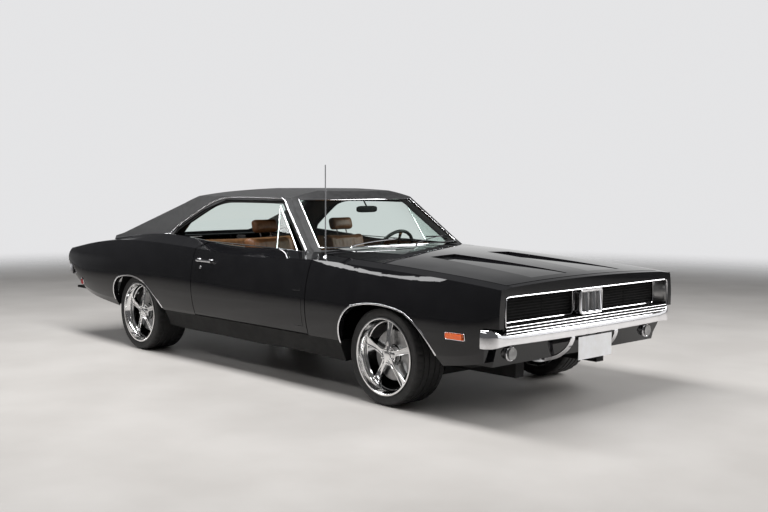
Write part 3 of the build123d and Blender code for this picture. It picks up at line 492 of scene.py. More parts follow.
def skin_run(stations, side, lift=0.0):
    """Points and outward directions along (s, z) stations on the body side."""
    found = [on_skin(s, z, side, lift) for s, z in stations]
    points, outs = zip(*(pair for pair in found if pair))
    return points, list(outs)


# Wheels
TYRE_RADIUS = 314
RIM_RADIUS = 249
TREAD_SEGMENTS = 160
SPOKES = 5
NUT_CIRCLE = 46
WHEELS = [
    ("front_right", 0, -1, 758, 252),
    ("front_left", 0, 1, 758, 252),
    ("rear_right", -WHEELBASE, -1, 765, 284),
    ("rear_left", -WHEELBASE, 1, 765, 284),
]
# Sections of the wheel: radius, and how far in from its outer edge
SIDE_WALL = [(TYRE_RADIUS - 4, 14), (TYRE_RADIUS - 12, 3), (TYRE_RADIUS - 24, 0), (TYRE_RADIUS - 27, 1.5),
             (TYRE_RADIUS - 42, 1), (RIM_RADIUS + 10, 5), (RIM_RADIUS + 3, 8), (RIM_RADIUS - 9, 16)]
HUB = [(0.01, 34), (20, 34), (27, 35.5), (29, 38), (30, 43), (52, 46), (60, 50), (64, 58), (64, 92),
       (0.01, 92)]
NUT = [(0.01, 30), (5, 30.5), (8, 34), (10, 38), (10.5, 50), (0.01, 50)]
DISC = [(70, 96), (160, 96), (162, 98), (162, 116), (160, 118), (70, 118)]
# Rim: how far inside its radius, and how far in from its outer edge, or from its inner edge for the back
RIM_FACE = [(0, 4), (1, 1), (4, 0), (11, 0), (14, 2), (15, 6), (17, 12), (22, 34), (26, 40), (28, 44),
            (29, 66), (33, 70)]
RIM_BACK = [(34, 20), (16, 4), (6, 2), (7, 10), (23, 24)]
RIM_BED = [(24, 60), (13, 22), (2, 14)]
# Spoke stations: radius, half width, height of the face below the outer lip
SPOKE_ROWS = [(42, 24, 40), (70, 17, 42), (105, 17, 47), (145, 20, 53), (185, 25, 59), (222, 31, 64)]


def wheel_place(axle_s, side, wheel_y):
    origin = mm(axle_s, side * wheel_y, TYRE_RADIUS)
    return lambda v: origin + Vector((v.x / 1000, side * v.z / 1000, -side * v.y / 1000))


def tyre_data(half):
    """Tread with four grooves, and a shoulder that is cut at every fourth segment."""
    edge = half - 12
    tread = [(TYRE_RADIUS - 0.5, -edge + 12)]
    for share in (-0.62, -0.22, 0.22, 0.62):
        y = share * edge
        tread += [(TYRE_RADIUS - deep, y + across) for deep, across in ((0, -7), (7, -5), (7, 5), (0, 7))]
    tread.append((TYRE_RADIUS - 0.5, edge - 12))
    profile = tread + [(radius, half - inset) for radius, inset in SIDE_WALL]
    profile += [(radius, inset - half) for radius, inset in reversed(SIDE_WALL)]
    shoulder = (0, 1, len(tread) - 2, len(tread) - 1, len(tread), len(profile) - 1)

    def cut(index, k):
        return 5.0 if index in shoulder and k % 4 == 0 else 0.0
    return lathe(profile, TREAD_SEGMENTS, cut)


def turned_section(section, half, segments):
    """Turns a section given as radius and inset from the wheel's outer edge."""
    return lathe([(radius, half - inset) for radius, inset in section], segments)


def rim_data(half):
    lip = [(RIM_RADIUS - deep, half - inset) for deep, inset in RIM_FACE]
    lip += [(RIM_RADIUS - deep, inset - half) for deep, inset in RIM_BACK]
    lip += [(RIM_RADIUS - deep, half - inset) for deep, inset in RIM_BED]
    parts = [lathe(lip, 128), turned_section(HUB, half, 64)]
    for spoke in range(SPOKES):
        turn = 2 * math.pi * spoke / SPOKES + math.radians(18)
        verts = []
        for radius, w, drop in SPOKE_ROWS:
            top = half - drop
            near = [(-w + a, top - b) for a, b in ((0, 26), (0, 3), (3, 0), (8, 0), (10, 2), (11, 9))]
            section = near + [(-across, height) for across, height in reversed(near)]
            verts += [radial(turn, radius, across, height) for across, height in section]
        parts.append((verts, ring_faces(len(SPOKE_ROWS), 12)))
    for number in range(SPOKES):
        centre = radial(2 * math.pi * number / SPOKES + math.radians(54), NUT_CIRCLE, 0, 0)
        parts.append(placed(turned_section(NUT, half, 12), lambda v: v + centre))
    return parts


for corner, axle_s, side, wheel_y, width in WHEELS:
    place = wheel_place(axle_s, side, wheel_y)
    half = width / 2
    wheel = f"wheel_{corner}"
    tyre = merged(f"tyre_dressed_{corner}", [placed(tyre_data(half), place)], "tyre_rubber", wheel, 28)
    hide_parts(f"tyre_{corner}")
    parts = [placed(part, place) for part in rim_data(half)]
    rim = merged(f"rim_dressed_{corner}", parts, "polished_rim", wheel, 30)
    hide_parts(f"rim_{corner}")
    merged(f"brake_disc_{corner}", [placed(turned_section(DISC, half, 72), place)], STEEL, wheel, 30)

# Bumpers
def bumper_path(front, corner_y, end_y, wrap, bow):
    """Plan points (s, y) from the middle of the bumper to its wrapped end."""
    sign = 1 if front > 0 else -1
    points = [(front - sign * bow * (y / corner_y) ** 2, y) for y in spaced(0, corner_y, 12)]
    start_s = points[-1][0]
    span_s = abs(start_s - wrap)
    for i in range(1, 9):
        t = math.radians(90 * i / 8)
        y = corner_y + (end_y - corner_y) * math.sin(t)
        points.append((start_s - sign * span_s * (1 - math.cos(t)), y))
    return points


def bumper(name, node, front, wrap, corner_y, end_y, bow, z_range, flare, thick):
    """A bowed bar that wraps round the corners and grows taller towards its ends by the flare."""
    sign = 1 if front > 0 else -1
    half_path = bumper_path(front, corner_y, end_y, wrap, bow)
    path = [(s, -y) for s, y in reversed(half_path[1:])] + half_path
    points = [Vector((s, y, 0)) for s, y in path]
    verts = []
    for i, point in enumerate(points):
        ahead = points[min(i + 1, len(points) - 1)]
        behind = points[max(i - 1, 0)]
        out = sign * (ahead - behind).cross(UP).normalized()
        share = max(0.0, (abs(point.y) - corner_y + 40) / (end_y - corner_y + 40))
        grow = flare * min(1.0, share * 1.6)
        low, high = z_range[0] - 0.25 * grow, z_range[1] + 0.75 * grow
        mid, half = (low + high) / 2, (high - low) / 2
        face = [(-thick, -half + 3), (-5, -half), (-1.2, -half + 3), (0, -half * 0.72), (0, -half * 0.3),
                (0, half * 0.2), (-1.5, half * 0.62), (-5.5, half * 0.88), (-12, half * 0.99), (-thick, half),
                (-thick - 2, half - 3), (-16, half - 6), (-9, half * 0.6), (-7, 0), (-9, -half + 6),
                (-thick - 2, -half + 6)]
        verts += [mm(point.x + out.x * a, point.y + out.y * a, mid + b) for a, b in face]
    bar = make_mesh(name, verts, ring_faces(len(points), 16), CHROME, angle=38)
    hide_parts(node)


bumper("front_bumper_bar", "front_bumper", 980, 864, 852, 947, 44, (484, 550), 40, 30)
bumper("rear_bumper_bar", "rear_bumper", -4302, -4140, 842, 919, 40, (562, 638), 14, 30)

for name, y in (("plate_bracket", -58), ("plate_bracket_left", 58)):
    bracket = [mm(958, y, 492), mm(966, y, 470), mm(968, y, 400)]
    strip(name, bracket, symmetric((-2, -14), (2, -14)), FORWARD, BLACK)

# Bumper arms either side of the plate
ARM_LINE = [(964, 222, 490), (967, 226, 468), (944, 232, 420), (900, 242, 375), (850, 252, 347),
            (790, 262, 337), (735, 268, 344)]
for side, name in SIDES.items():
    arm = smooth_path([mm(s, side * y, z) for s, y, z in ARM_LINE], 5)
    strip(f"bumper_arm_{name}", arm, symmetric((-6, -18), (2, -20), (6, -16)), FORWARD, CHROME)

# Grille
GRILLE_END_Y = 760
MESH_S = 884
MESH_PITCH = 6.2
LIP_S = 955.5
HEADER_S = NOSE_S + 1
HEADER_Z = 764
HEADER_END = [(800, 765), (826, 752), (832, 700), (832, 640), (829, 592)]
DIVIDER_S = 934
DIVIDER_LOW, DIVIDER_HIGH = 612, 748
LEAN = 0.08


def upright_bars(s, side, first_y, pitch, count, low, high, section, outward):
    """Bars one pitch apart, away from the middle of the car."""
    places = [side * (first_y + i * pitch) for i in range(count)]
    return [sweep_data([mm(s, y, low), mm(s, y, high)], section, outward) for y in places]


def mesh_bars(side, first_y, count, low, high):
    return upright_bars(MESH_S, side, first_y, MESH_PITCH, count, low, high, oval(0.8, 0.7, 4), FORWARD)


def grille_end_wall(side, name):
    """Slanted silver wall at the outer end of the grille's recess."""
    verts = []
    for t in spaced(0, 1, 6):
        s = MESH_S + (NOSE_S - MESH_S - 4) * t
        y = side * (GRILLE_END_Y + 6 + (828 - GRILLE_END_Y - 6) * (1 - (1 - t) ** 1.8))
        verts += [mm(s, y, 599), mm(s, y, 680), mm(s, y, 762)]
    wall = make_mesh(f"grille_end_wall_{name}", verts, ring_faces(7, 3, closed_ring=False), "argent",
                     angle=60)
    wall.modifiers.new("thickness", "SOLIDIFY").thickness = 0.002


for side, name in SIDES.items():
    low, high = sorted((side * 128, side * (GRILLE_END_Y + 4)))
    loop = [mm(888, y, z) for y, z in rounded_box(low, high, 606, 760, 22)]
    strip(f"grille_frame_{name}", loop, symmetric((-2, -3), (3, -3), (5, 0)), FORWARD, CHROME, closed=True)
    merged(f"grille_mesh_{name}", mesh_bars(side, 134, 46, 602, 756), BLACK)
    merged(f"lamp_door_mesh_{name}", mesh_bars(side, 432, 52, 609, 752), BLACK, f"headlamp_door_{name}")
    grille_end_wall(side, name)

# Lip mouldings under the grille, and the header's moulding over it
for index, z in enumerate((594, 576, 558)):
    lip = [mm(LIP_S, y, z) for y in range(-826, 827, 59)]
    strip(f"lip_moulding_{index}", lip, oval(2.5, 2.2), FORWARD, CHROME)
header = [mm(HEADER_S, y, HEADER_Z) for y in spaced(-HALF_NOSE, HALF_NOSE, 28)]
strip("header_moulding", header, oval(4.2, 4.2, 8), FORWARD, CHROME)
for side, name in SIDES.items():
    header_end = smooth_path([mm(HEADER_S, side * y, z) for y, z in HEADER_END], 5)
    strip(f"header_moulding_{name}", header_end, oval(4.0, 4.0, 8), FORWARD, CHROME)

# Divider: rounded frame with upright bars that lean back a little
loop = [mm(DIVIDER_S, y, z) for y, z in rounded_box(-112, 112, 606, 754, 20)]
parts = [sweep_data(loop, symmetric((-46, -8), (2, -8), (7, -5), (9, 0)), FORWARD, closed=True)]
for y, wide in ((-104, 13), (-38, 11), (38, 11), (104, 13)):
    bar = [mm(DIVIDER_S - (z - DIVIDER_LOW) * LEAN, y, z) for z in (DIVIDER_LOW, 640, 680, 720, DIVIDER_HIGH)]
    parts.append(sweep_data(bar, symmetric((-30, -wide), (2, -wide), (8, -wide + 5), (10, 0)), FORWARD))
for z in (DIVIDER_LOW, DIVIDER_HIGH):
    rail = [mm(DIVIDER_S, y, z) for y in (-104, -50, 0, 50, 104)]
    parts.append(sweep_data(rail, symmetric((-30, -10), (2, -10), (7, -6), (8, 0)), FORWARD))
divider = merged("divider_frame", parts, CHROME, angle=35)
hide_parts("grille_divider")
fins = []
for y in (-71, 0, 71):
    fin = [mm(912, y, z) for z in (610, 680, 750)]
    fins.append(sweep_data(fin, symmetric((-6, -26), (0, -26), (7, -4)), FORWARD))
merged("divider_fins", fins, "argent")

# Lines and surfaces that the trim follows
FRONT_ARCH = [(-368, 363), (-330, 525), (-228, 616), (-13, 646), (227, 621), (385, 520), (487, 387)]
REAR_ARCH = [(-358, 396), (-318, 524), (-213, 599), (0, 617), (199, 578), (318, 490), (400, 388)]
ARCH_CENTRE_Z = 340
ARCH_GROW = 5
# Upper edge of the body side: s, y, z
TOP_EDGE = [(-640, 765, 912), (-1300, 770, 928), (-2060, 776, 938), (-2700, 788, 976), (-3300, 770, 934),
            (-3900, 760, 860)]
# Half width of the roof's side at the belt and at the drip: s, y, y
ROOF_ROWS = [(-560, 772, 596), (-1275, 778, 610), (-2000, 786, 618), (-2800, 798, 626), (-3650, 806, 640)]
DRIP_Z = 1290
BELT_Z = 880
ROOF_OUT = {side: Vector((0, side * 0.92, 0.38)).normalized() for side in SIDES}
GLASS_FOOT_Y, GLASS_FOOT_Z = 775, 900
GLASS_LEAN = 155 / 390
SCREEN_HALF, SCREEN_BOW = 740, 170
SCREEN_RADIUS = (SCREEN_HALF ** 2 + SCREEN_BOW ** 2) / (2 * SCREEN_BOW)
SCREEN_FOOT_S, SCREEN_FOOT_Z = -700, 945
SCREEN_RUN, SCREEN_RISE = 465, 345
SCREEN_OUT = Vector((0.6, 0, 0.8))
SCREEN_CORNERS = [(-694, 947, 24), (694, 947, 13), (565, 1273, 24), (-565, 1273, 13)]
REAR_GLASS_SIDE = [(-2500, 1262), (-2640, 1153), (-2780, 1043), (-2916, 940)]
# Up the pillar, over the side window and down to the belt
DRIP_LINE = [(-916, 930), (-1000, 998), (-1130, 1102), (-1260, 1207), (-1345, 1275), (-1440, 1284),
             (-1700, 1286), (-1960, 1284), (-2100, 1276), (-2230, 1246), (-2340, 1200), (-2480, 1126),
             (-2610, 1056), (-2672, 1012), (-2694, 988), (-2690, 966)]
INNER_LINE = [(-925, 905), (-1010, 973), (-1140, 1078), (-1270, 1183), (-1352, 1252), (-1440, 1259),
              (-1700, 1260), (-1960, 1258), (-2086, 1252), (-2210, 1225), (-2322, 1175), (-2470, 1098),
              (-2600, 1028), (-2646, 985)]
VENT_LINE = [(-985, 905), (-1110, 905), (-1240, 905), (-1272, 985), (-1304, 1075), (-1336, 1165),
             (-1356, 1228), (-1290, 1170), (-1190, 1085), (-1085, 995)]
# Front and lower edges of the door's two dents: front s, rear s, low z, high z
DENTS = [(-758, -835, 679, 866), (-746, -850, 436, 620)]


def arc_through(ends, steps):
    """Points on the arc through three (s, z) points, which are taken as complex numbers."""
    a, b, c = (complex(*point) for point in ends)
    ratio = (c - a) / (b - a)
    centre = a + (b - a) * (ratio - abs(ratio) ** 2) / (2j * ratio.imag)
    start, mid, end = (cmath.phase(point - centre) for point in (a, b, c))
    span = (end - start) % (2 * math.pi)
    if (mid - start) % (2 * math.pi) > span:
        span -= 2 * math.pi
    return [centre + cmath.rect(abs(a - centre), turn) for turn in spaced(start, start + span, steps)]


def arc_stations(axle, arch):
    """Stations just outside a wheel arch, which is three arcs through its points."""
    points = []
    for first in (0, 2, 4):
        points += arc_through(arch[first:first + 3], 12)[1 if first else 0:]
    centre = complex(0, ARCH_CENTRE_Z)
    grown = [centre + (point - centre) * (1 + ARCH_GROW / abs(point - centre)) for point in points]
    return [(axle + point.real, point.imag) for point in grown]


def between(rows, s, column):
    """The column's value at a station, on the straight lines between the rows, which run rearward."""
    for front, rear in zip(rows, rows[1:]):
        if s >= rear[0]:
            break
    return front[column] + (rear[column] - front[column]) * (s - front[0]) / (rear[0] - front[0])


def belt_line(stations, side):
    return [mm(s, side * (between(TOP_EDGE, s, 1) - 4), between(TOP_EDGE, s, 2) + 2) for s in stations]


def roof_y(s, z):
    belt = between(ROOF_ROWS, s, 1)
    drip = between(ROOF_ROWS, s, 2)
    return belt + (drip - belt) * (z - BELT_Z) / (DRIP_Z - BELT_Z)


def roof_side(s, z, side, lift=0.0):
    return mm(s, side * (roof_y(s, z) + lift), z)


def vent_y(z):
    """Half width of the door glass plane."""
    return GLASS_FOOT_Y - (z - GLASS_FOOT_Z) * GLASS_LEAN


def screen_point(y, z, lift=0.0):
    """A point on the bowed, leaning windshield."""
    base = SCREEN_FOOT_S - (SCREEN_RADIUS - math.sqrt(SCREEN_RADIUS ** 2 - y * y))
    s = base - (z - SCREEN_FOOT_Z) * SCREEN_RUN / SCREEN_RISE
    return mm(s + lift * SCREEN_OUT.x, y, z + lift * SCREEN_OUT.z)


# Surrounds of the windshield and the rear window
loop = []
for index, (y, z, count) in enumerate(SCREEN_CORNERS):
    next_y, next_z, _ = SCREEN_CORNERS[(index + 1) % 4]
    loop += [screen_point(a, b, 3) for a, b in zip(spaced(y, next_y, count)[:-1], spaced(z, next_z, count))]
strip("windshield_surround", loop, symmetric((-3, -4.5), (1, -4.5), (3, -2), (3.5, 0)), SCREEN_OUT, CHROME,
      closed=True)

loop = [mm(-2500, y, 1262) for y in (-540, -270, 0, 270)]
loop += [mm(s, 540, z) for s, z in REAR_GLASS_SIDE]
loop += [mm(-2922, y, 937) for y in (270, 0, -270)]
loop += [mm(s, -540, z) for s, z in reversed(REAR_GLASS_SIDE[1:])]
strip("rear_window_surround", [point + Vector((-0.004, 0, 0.006)) for point in loop],
      symmetric((-3, -9), (1, -9), (4, 0)), Vector((-0.6, 0, 0.78)), CHROME, closed=True)


# Trim of each side
def window_trim(side, name):
    """Drip moulding, rubber, pillar trim, sill mouldings, the vinyl's edge and the vent window's frame."""
    out = ROOF_OUT[side]
    drip = smooth_path([roof_side(s, z, side, 3) for s, z in DRIP_LINE], 4)
    strip(f"drip_moulding_{name}", drip, oval(6.5, 6.5), out, CHROME)
    rubber = smooth_path([roof_side(s, z, side, -16) for s, z in INNER_LINE], 4)
    strip(f"window_rubber_{name}", rubber, [(-8, -13), (8, -13), (9, 13), (-8, 13)], out, BLACK)
    pillar = smooth_path([roof_side(s + 26, z + 2, side, 2) for s, z in INNER_LINE[:5]], 3)
    strip(f"pillar_trim_{name}", pillar, oval(3, 4.5, 8), out, CHROME)
    sill = belt_line(range(-2074, -880, 85), side)
    strip(f"door_sill_moulding_{name}", sill, oval(4, 10, 8), UP, CHROME, f"door_{name}")
    sill = belt_line(range(-2690, -2110, 58), side)
    strip(f"quarter_sill_moulding_{name}", sill, oval(4, 10, 8), UP, CHROME)
    edge = []
    for s in range(-3545, -2680, 54):
        z = between(TOP_EDGE, s, 2)
        edge.append(mm(s, side * (roof_y(s, z) + 2), z + 3))
    strip(f"vinyl_edge_{name}", edge, oval(4, 7, 8), out, CHROME)
    vent = [mm(s, side * vent_y(z), z) for s, z in VENT_LINE]
    strip(f"vent_frame_{name}", vent, symmetric((-3, -3.5), (2, -3.5), (4, 0)), out, CHROME, f"door_{name}",
          closed=True)


def arch_moulding(label, axle, arch, side, name):
    """A moulding round a wheel arch, kept within the car's width."""
    points, outs = skin_run(arc_stations(axle, arch), side, -1)
    verts, faces = sweep_data(points, [(-3, -6), (2.5, -6), (5, -2), (5, 3), (2, 6), (-3, 6)], outs)
    for vert in verts:
        vert.y = max(-HALF_WIDTH, min(HALF_WIDTH, vert.y))
    make_mesh(f"{label}_arch_moulding_{name}", verts, faces, CHROME, angle=40)


def door_lines(side, name):
    """Rolled lips along the front and lower edges of the door's dents, and the seal behind its shut line."""
    for index, (front, rear, low, high) in enumerate(DENTS):
        stations = [(front, z) for z in spaced(high, low, 8)]
        stations.append((front - 12, low - 4))
        stations += [(s, low - 4) for s in spaced(front, rear, 4)[2:]]
        points, outs = skin_run(stations, side)
        strip(f"door_dent_lip_{index}_{name}", points, oval(2.6, 3.2), outs, "paint", f"door_{name}")
    seal = [mm(-2098, side * 753, z) for z in range(400, 921, 65)]
    strip(f"door_seal_{name}", seal, symmetric((-3, -22), (3, -22)), side * LEFT, BLACK)


def marker_bezel(label, s, z, half_s, half_z, radius, proud, side):
    box = rounded_box(s - half_s, s + half_s, z - half_z, z + half_z, radius)
    points, outs = skin_run(box, side, 1.5)
    strip(label, points, symmetric((-2, -3), (proud, -3), (proud + 2, 0)), outs, CHROME, closed=True)


def door_lock(side, name):
    centre, out = on_skin(-1983, 756, side)
    along = out.cross(UP).normalized()
    high = along.cross(out).normalized()
    lock = lathe([(0.01, 4), (8, 4), (11, 2.5), (12, 0), (12, -2), (0.01, -2)], 24)
    lock = placed(lock, lambda v: centre + along * (v.x / 1000) + high * (v.y / 1000) + out * (v.z / 1000))
    merged(f"door_lock_{name}", [lock], CHROME, f"door_{name}")


def door_handle(side, name):
    """A bar that bows out between its two posts."""
    z = 809
    grip = [mm(s, side * 953, z) for s in (-2018, -2012)]
    grip += [mm(s, side * 957, z) for s in (-1990, -1950, -1900, -1850)]
    grip += [mm(s, side * 953, z) for s in (-1828, -1822)]
    parts = [sweep_data(grip, symmetric((-6, -7), (-3, -9), (2, -8), (4, 0)), side * LEFT)]
    for s in (-2000, -1840):
        parts.append(sweep_data([mm(s, side * y, z) for y in (922, 938, 952)], oval(13, 10, 12), UP))
    handle = merged(f"door_handle_dressed_{name}", parts, CHROME, f"door_{name}")
    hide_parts(f"door_handle_{name}")


for side, name in SIDES.items():
    window_trim(side, name)
    arch_moulding("front", 0, FRONT_ARCH, side, name)
    arch_moulding("rear", -WHEELBASE, REAR_ARCH, side, name)
    door_lines(side, name)
    marker_bezel(f"marker_bezel_{name}", 658, 522, 70, 19, 5, 2, side)
    marker_bezel(f"rear_marker_bezel_{name}", -3949, 505, 28, 28, 27.9, 3, side)
    door_lock(side, name)
    door_handle(side, name)

# Soft goods
PAD_STEP = 22
VOXEL = 0.011
PRESSURE = 4
CLOTH_FRAMES = 16
CHANNEL_SPAN = 0.66
CHANNEL_END = 0.8
CHANNEL_DEPTH = 0.006
SEAM_DEPTH = 0.004
FRONT_LEAN = 17
SEAT_Y = 395


def turned(centre, lean):
    """Local x forward, y left, z up, leaned back by so many degrees about the y axis."""
    a = math.radians(lean)
    ax = Vector((math.cos(a), 0, math.sin(a)))
    az = Vector((-math.sin(a), 0, math.cos(a)))
    return lambda v: centre + ax * (v.x / 1000) + LEFT * (v.y / 1000) + az * (v.z / 1000)


def puff(obj, cap):
    """Lets the cover swell a little under pressure, then keeps the result."""
    bpy.context.view_layer.objects.active = obj
    bpy.ops.object.select_all(action="DESELECT")
    obj.select_set(True)
    remesh = obj.modifiers.new("remesh", "REMESH")
    remesh.mode = "VOXEL"
    remesh.voxel_size = VOXEL
    bpy.ops.object.modifier_apply(modifier=remesh.name)
    rest = [v.co.copy() for v in obj.data.vertices]
    cloth = obj.modifiers.new("cloth", "CLOTH")
    cloth.settings.use_pressure = True
    cloth.settings.uniform_pressure_force = PRESSURE
    cloth.settings.effector_weights.gravity = 0
    cloth.settings.quality = 4
    cloth.point_cache.frame_start = 1
    cloth.point_cache.frame_end = CLOTH_FRAMES
    for number in range(1, CLOTH_FRAMES + 1):
        scene.frame_set(number)
    shown = obj.evaluated_get(bpy.context.evaluated_depsgraph_get())
    moved = [v.co.copy() for v in shown.data.vertices]
    obj.modifiers.remove(cloth)
    for vert, start, end in zip(obj.data.vertices, rest, moved):
        step = end - start
        if step.length > cap:
            step *= cap / step.length
        vert.co = start + step
    scene.frame_set(1)


def shape_pad(bm, half, radius, crown, pull, thick, flat):
    """Turns a cube of side 2 into a pad: rounded edges, a crowned face and sides that pull in."""
    for vert in bm.verts:
        u = list(vert.co)
        p = [a * b for a, b in zip(u, half)]
        core = [max(radius - half[i], min(half[i] - radius, p[i])) for i in range(3)]
        offset = Vector([p[i] - core[i] for i in range(3)])
        if offset.length > 1e-6:
            offset = offset * (max(abs(c) for c in offset) / offset.length)
        p = [core[i] + offset[i] for i in range(3)]
        if u[thick] > 0.2:
            swell = (1 - u[flat[0]] ** 2) * (1 - u[flat[1]] ** 2)
            p[thick] += crown * swell * (u[thick] - 0.2) / 0.8
        for i, other in (flat, flat[::-1]):
            p[i] -= math.copysign(pull, u[i]) * (1 - u[other] ** 2) * abs(u[i]) ** 6
        vert.co = Vector(p) / 1000


def sew_channels(mesh, limits, crown, thick, flat, channels):
    """Keeps the pad within its size, then presses the sewn channels into its face."""
    for vert in mesh.vertices:
        for i in range(3):
            edge = limits[i] + (crown / 1000 if i == thick else 0)
            vert.co[i] = max(-limits[i], min(edge, vert.co[i]))
        across = vert.co[flat[1]] / limits[flat[1]]
        along = vert.co[flat[0]] / limits[flat[0]]
        if not channels or vert.co[thick] / limits[thick] <= 0.3:
            continue
        if abs(across) < CHANNEL_SPAN and abs(along) < CHANNEL_END:
            wave = abs(math.sin(math.pi * (across / CHANNEL_SPAN + 1) / 2 * channels))
            vert.co[thick] -= CHANNEL_DEPTH * (1 - wave) ** 3 * min(1, (CHANNEL_END - abs(along)) / 0.1)
        if 0.64 < abs(across) < 0.70:
            vert.co[thick] -= SEAM_DEPTH


def soft_block(name, size, place, radius, crown, pull, axis, channels, cap=0.012):
    """A padded piece. Axis is the local direction that its face looks to; channels run along that face."""
    half = [v / 2 for v in size]
    thick = 2 if axis == "z" else 0
    flat = (0, 1) if thick == 2 else (2, 1)
    bm = bmesh.new()
    bmesh.ops.create_cube(bm, size=2.0)
    bmesh.ops.subdivide_edges(bm, edges=bm.edges, cuts=max(6, int(max(size) / PAD_STEP)), use_grid_fill=True)
    shape_pad(bm, half, radius, crown, pull, thick, flat)
    mesh = bpy.data.meshes.new(name)
    bm.to_mesh(mesh)
    bm.free()
    mesh.materials.append(MATS[LEATHER])
    obj = add_object(name, mesh)
    puff(obj, cap)
    sew_channels(mesh, [h / 1000 for h in half], crown, thick, flat, channels)
    for vert in mesh.vertices:
        vert.co = place(vert.co * 1000)
    mesh.shade_smooth()
    smooth = obj.modifiers.new("smooth", "SUBSURF")
    smooth.levels = 1
    smooth.render_levels = 1
    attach(obj, BODY)
    return obj


def front_seat(side, name):
    y = side * SEAT_Y
    place = turned(mm(-1508, y, 400), -4)
    cushion = soft_block(f"front_cushion_{name}", (480, 436, 118), place, 46, 10, 8, "z", 7)
    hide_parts("front_seats")
    place = turned(mm(-1806, y, 742), FRONT_LEAN)
    soft_block(f"front_backrest_{name}", (96, 430, 490), place, 40, 10, 8, "x", 7)
    place = turned(mm(-1893, y, 1058), FRONT_LEAN)
    soft_block(f"headrest_{name}", (72, 236, 108), place, 32, 4, 4, "x", 0, cap=0.006)
    posts = [sweep_data([mm(-1885, y + shift, 1010), mm(-1872, y + shift, 975)], oval(5, 5, 8), FORWARD)
             for shift in (-50, 50)]
    merged(f"headrest_posts_{name}", posts, CHROME)
    base = [mm(s, y, 296) for s in spaced(-1272, -1748, 12)]
    strip(f"seat_base_{name}", base, symmetric((-48, -205), (40, -212), (44, -200)), UP, "dash_plastic")


for side, name in SIDES.items():
    front_seat(side, name)
bench = soft_block("rear_cushion", (300, 1110, 170), turned(mm(-2358, 0, 400), 6), 55, 8, 8, "z", 13)
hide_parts("rear_seat")
soft_block("rear_backrest", (100, 1110, 450), turned(mm(-2690, 0, 714), 22), 42, 8, 8, "x", 13)

# Steering wheel
STEER_AT = mm(-1217, 370, 850)
RAKE = math.radians(25)
STEER_AXIS = Vector((-math.cos(RAKE), 0, math.sin(RAKE)))
STEER_UP = STEER_AXIS.cross(LEFT).normalized()
GRIP_RADIUS, GRIP_THICK = 190, 13
grip_section = [(GRIP_RADIUS + a, b) for a, b in oval(GRIP_THICK, GRIP_THICK, 14)]


def steer_place(v):
    return STEER_AT + LEFT * (v.x / 1000) + STEER_UP * (v.y / 1000) + STEER_AXIS * (v.z / 1000)


def finger_grips(index, k):
    return 1.6 if grip_section[index][0] < GRIP_RADIUS - 4 and k % 4 < 2 else 0.0


grip = placed(lathe(grip_section, 96, finger_grips), steer_place)
steering_rim = merged("steering_rim", [grip], "dash_plastic", "steering_wheel")
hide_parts("steering_wheel")
spokes = [placed(lathe([(0.01, 6), (30, 5), (40, 1), (42, -6), (42, -14), (0.01, -14)], 40), steer_place)]
for degrees in (-90, 30, 150):
    verts = []
    for radius, w, z in ((36, 15, -2), (90, 12, -5), (140, 12, -6), (182, 17, -2)):
        for across, height in ((-w, 0), (w, 0), (w, -4), (-w, -4)):
            verts.append(steer_place(radial(math.radians(degrees), radius, across, z + height)))
    spokes.append((verts, ring_faces(4, 4)))
merged("steering_spokes", spokes, CHROME, "steering_wheel")

# Door cards, quarter trims and armrests
CARD_Y, CARD_Z = 757, 640
CARD_SECTION = [(0, -228), (5, -226), (7, -120), (5, -112), (8, -100), (8, 40), (4, 52), (8, 66), (7, 266),
                (0, 274)]
for side, name in SIDES.items():
    inward = -side * LEFT
    card = [mm(s, side * CARD_Y, CARD_Z) for s in spaced(-736, -2054, 18)]
    strip(f"door_card_{name}", card, CARD_SECTION, inward, LEATHER, f"door_{name}")
    trim = [mm(s, side * CARD_Y, 700) for s in spaced(-2122, -2640, 8)]
    strip(f"quarter_trim_{name}", trim, [(0, -150), (6, -146), (8, -20), (8, 200), (0, 214)], inward, LEATHER)
    armrest = [mm(s, side * 738, 655) for s in (-1300, -1330, -1420, -1560, -1700, -1800, -1830)]
    section = symmetric((-18, -26), (14, -24), (20, -14))
    strip(f"armrest_{name}", armrest, section, inward, LEATHER, f"door_{name}")

# Dash pad and gauges: y, z, radius
GAUGES = [(300, 812, 46), (440, 812, 46), (530, 812, 27), (590, 812, 27), (210, 812, 27)]
pad = [mm(-985, y, 893) for y in range(-676, 677, 52)]
section = [(-20, -46), (8, -52), (16, -40), (16, 40), (6, 66), (-14, 70), (-22, 40)]
strip("dash_pad", pad, section, UP, LEATHER)
rings = []
for y, z, radius in GAUGES:
    ring = [mm(-1039, y + a, z + b) for a, b in oval(radius, radius, 28)]
    rings.append(sweep_data(ring, oval(3, 3, 6), FORWARD, closed=True))
merged("gauge_rings", rings, CHROME)

# Inside mirror: rings of its case by station and share of its outline, then its arm
MIRROR_Z = 1201
MIRROR_RINGS = [(-1133, 0.96), (-1131, 1.0), (-1124, 1.0), (-1119, 0.9), (-1117, 0.6)]
outline = boxy_oval(104, 25, 0.45, 0.6, 32)
verts = [mm(s, y * grow, MIRROR_Z + z * grow) for s, grow in MIRROR_RINGS for y, z in outline]
arm = sweep_data([mm(-1126, 0, 1215), mm(-1160, 0, 1262), mm(-1200, 0, 1308)], oval(5, 7), FORWARD)
mirror = merged("mirror_case", [(verts, ring_faces(len(MIRROR_RINGS), 32)), arm], BLACK)
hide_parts("inner_mirror")

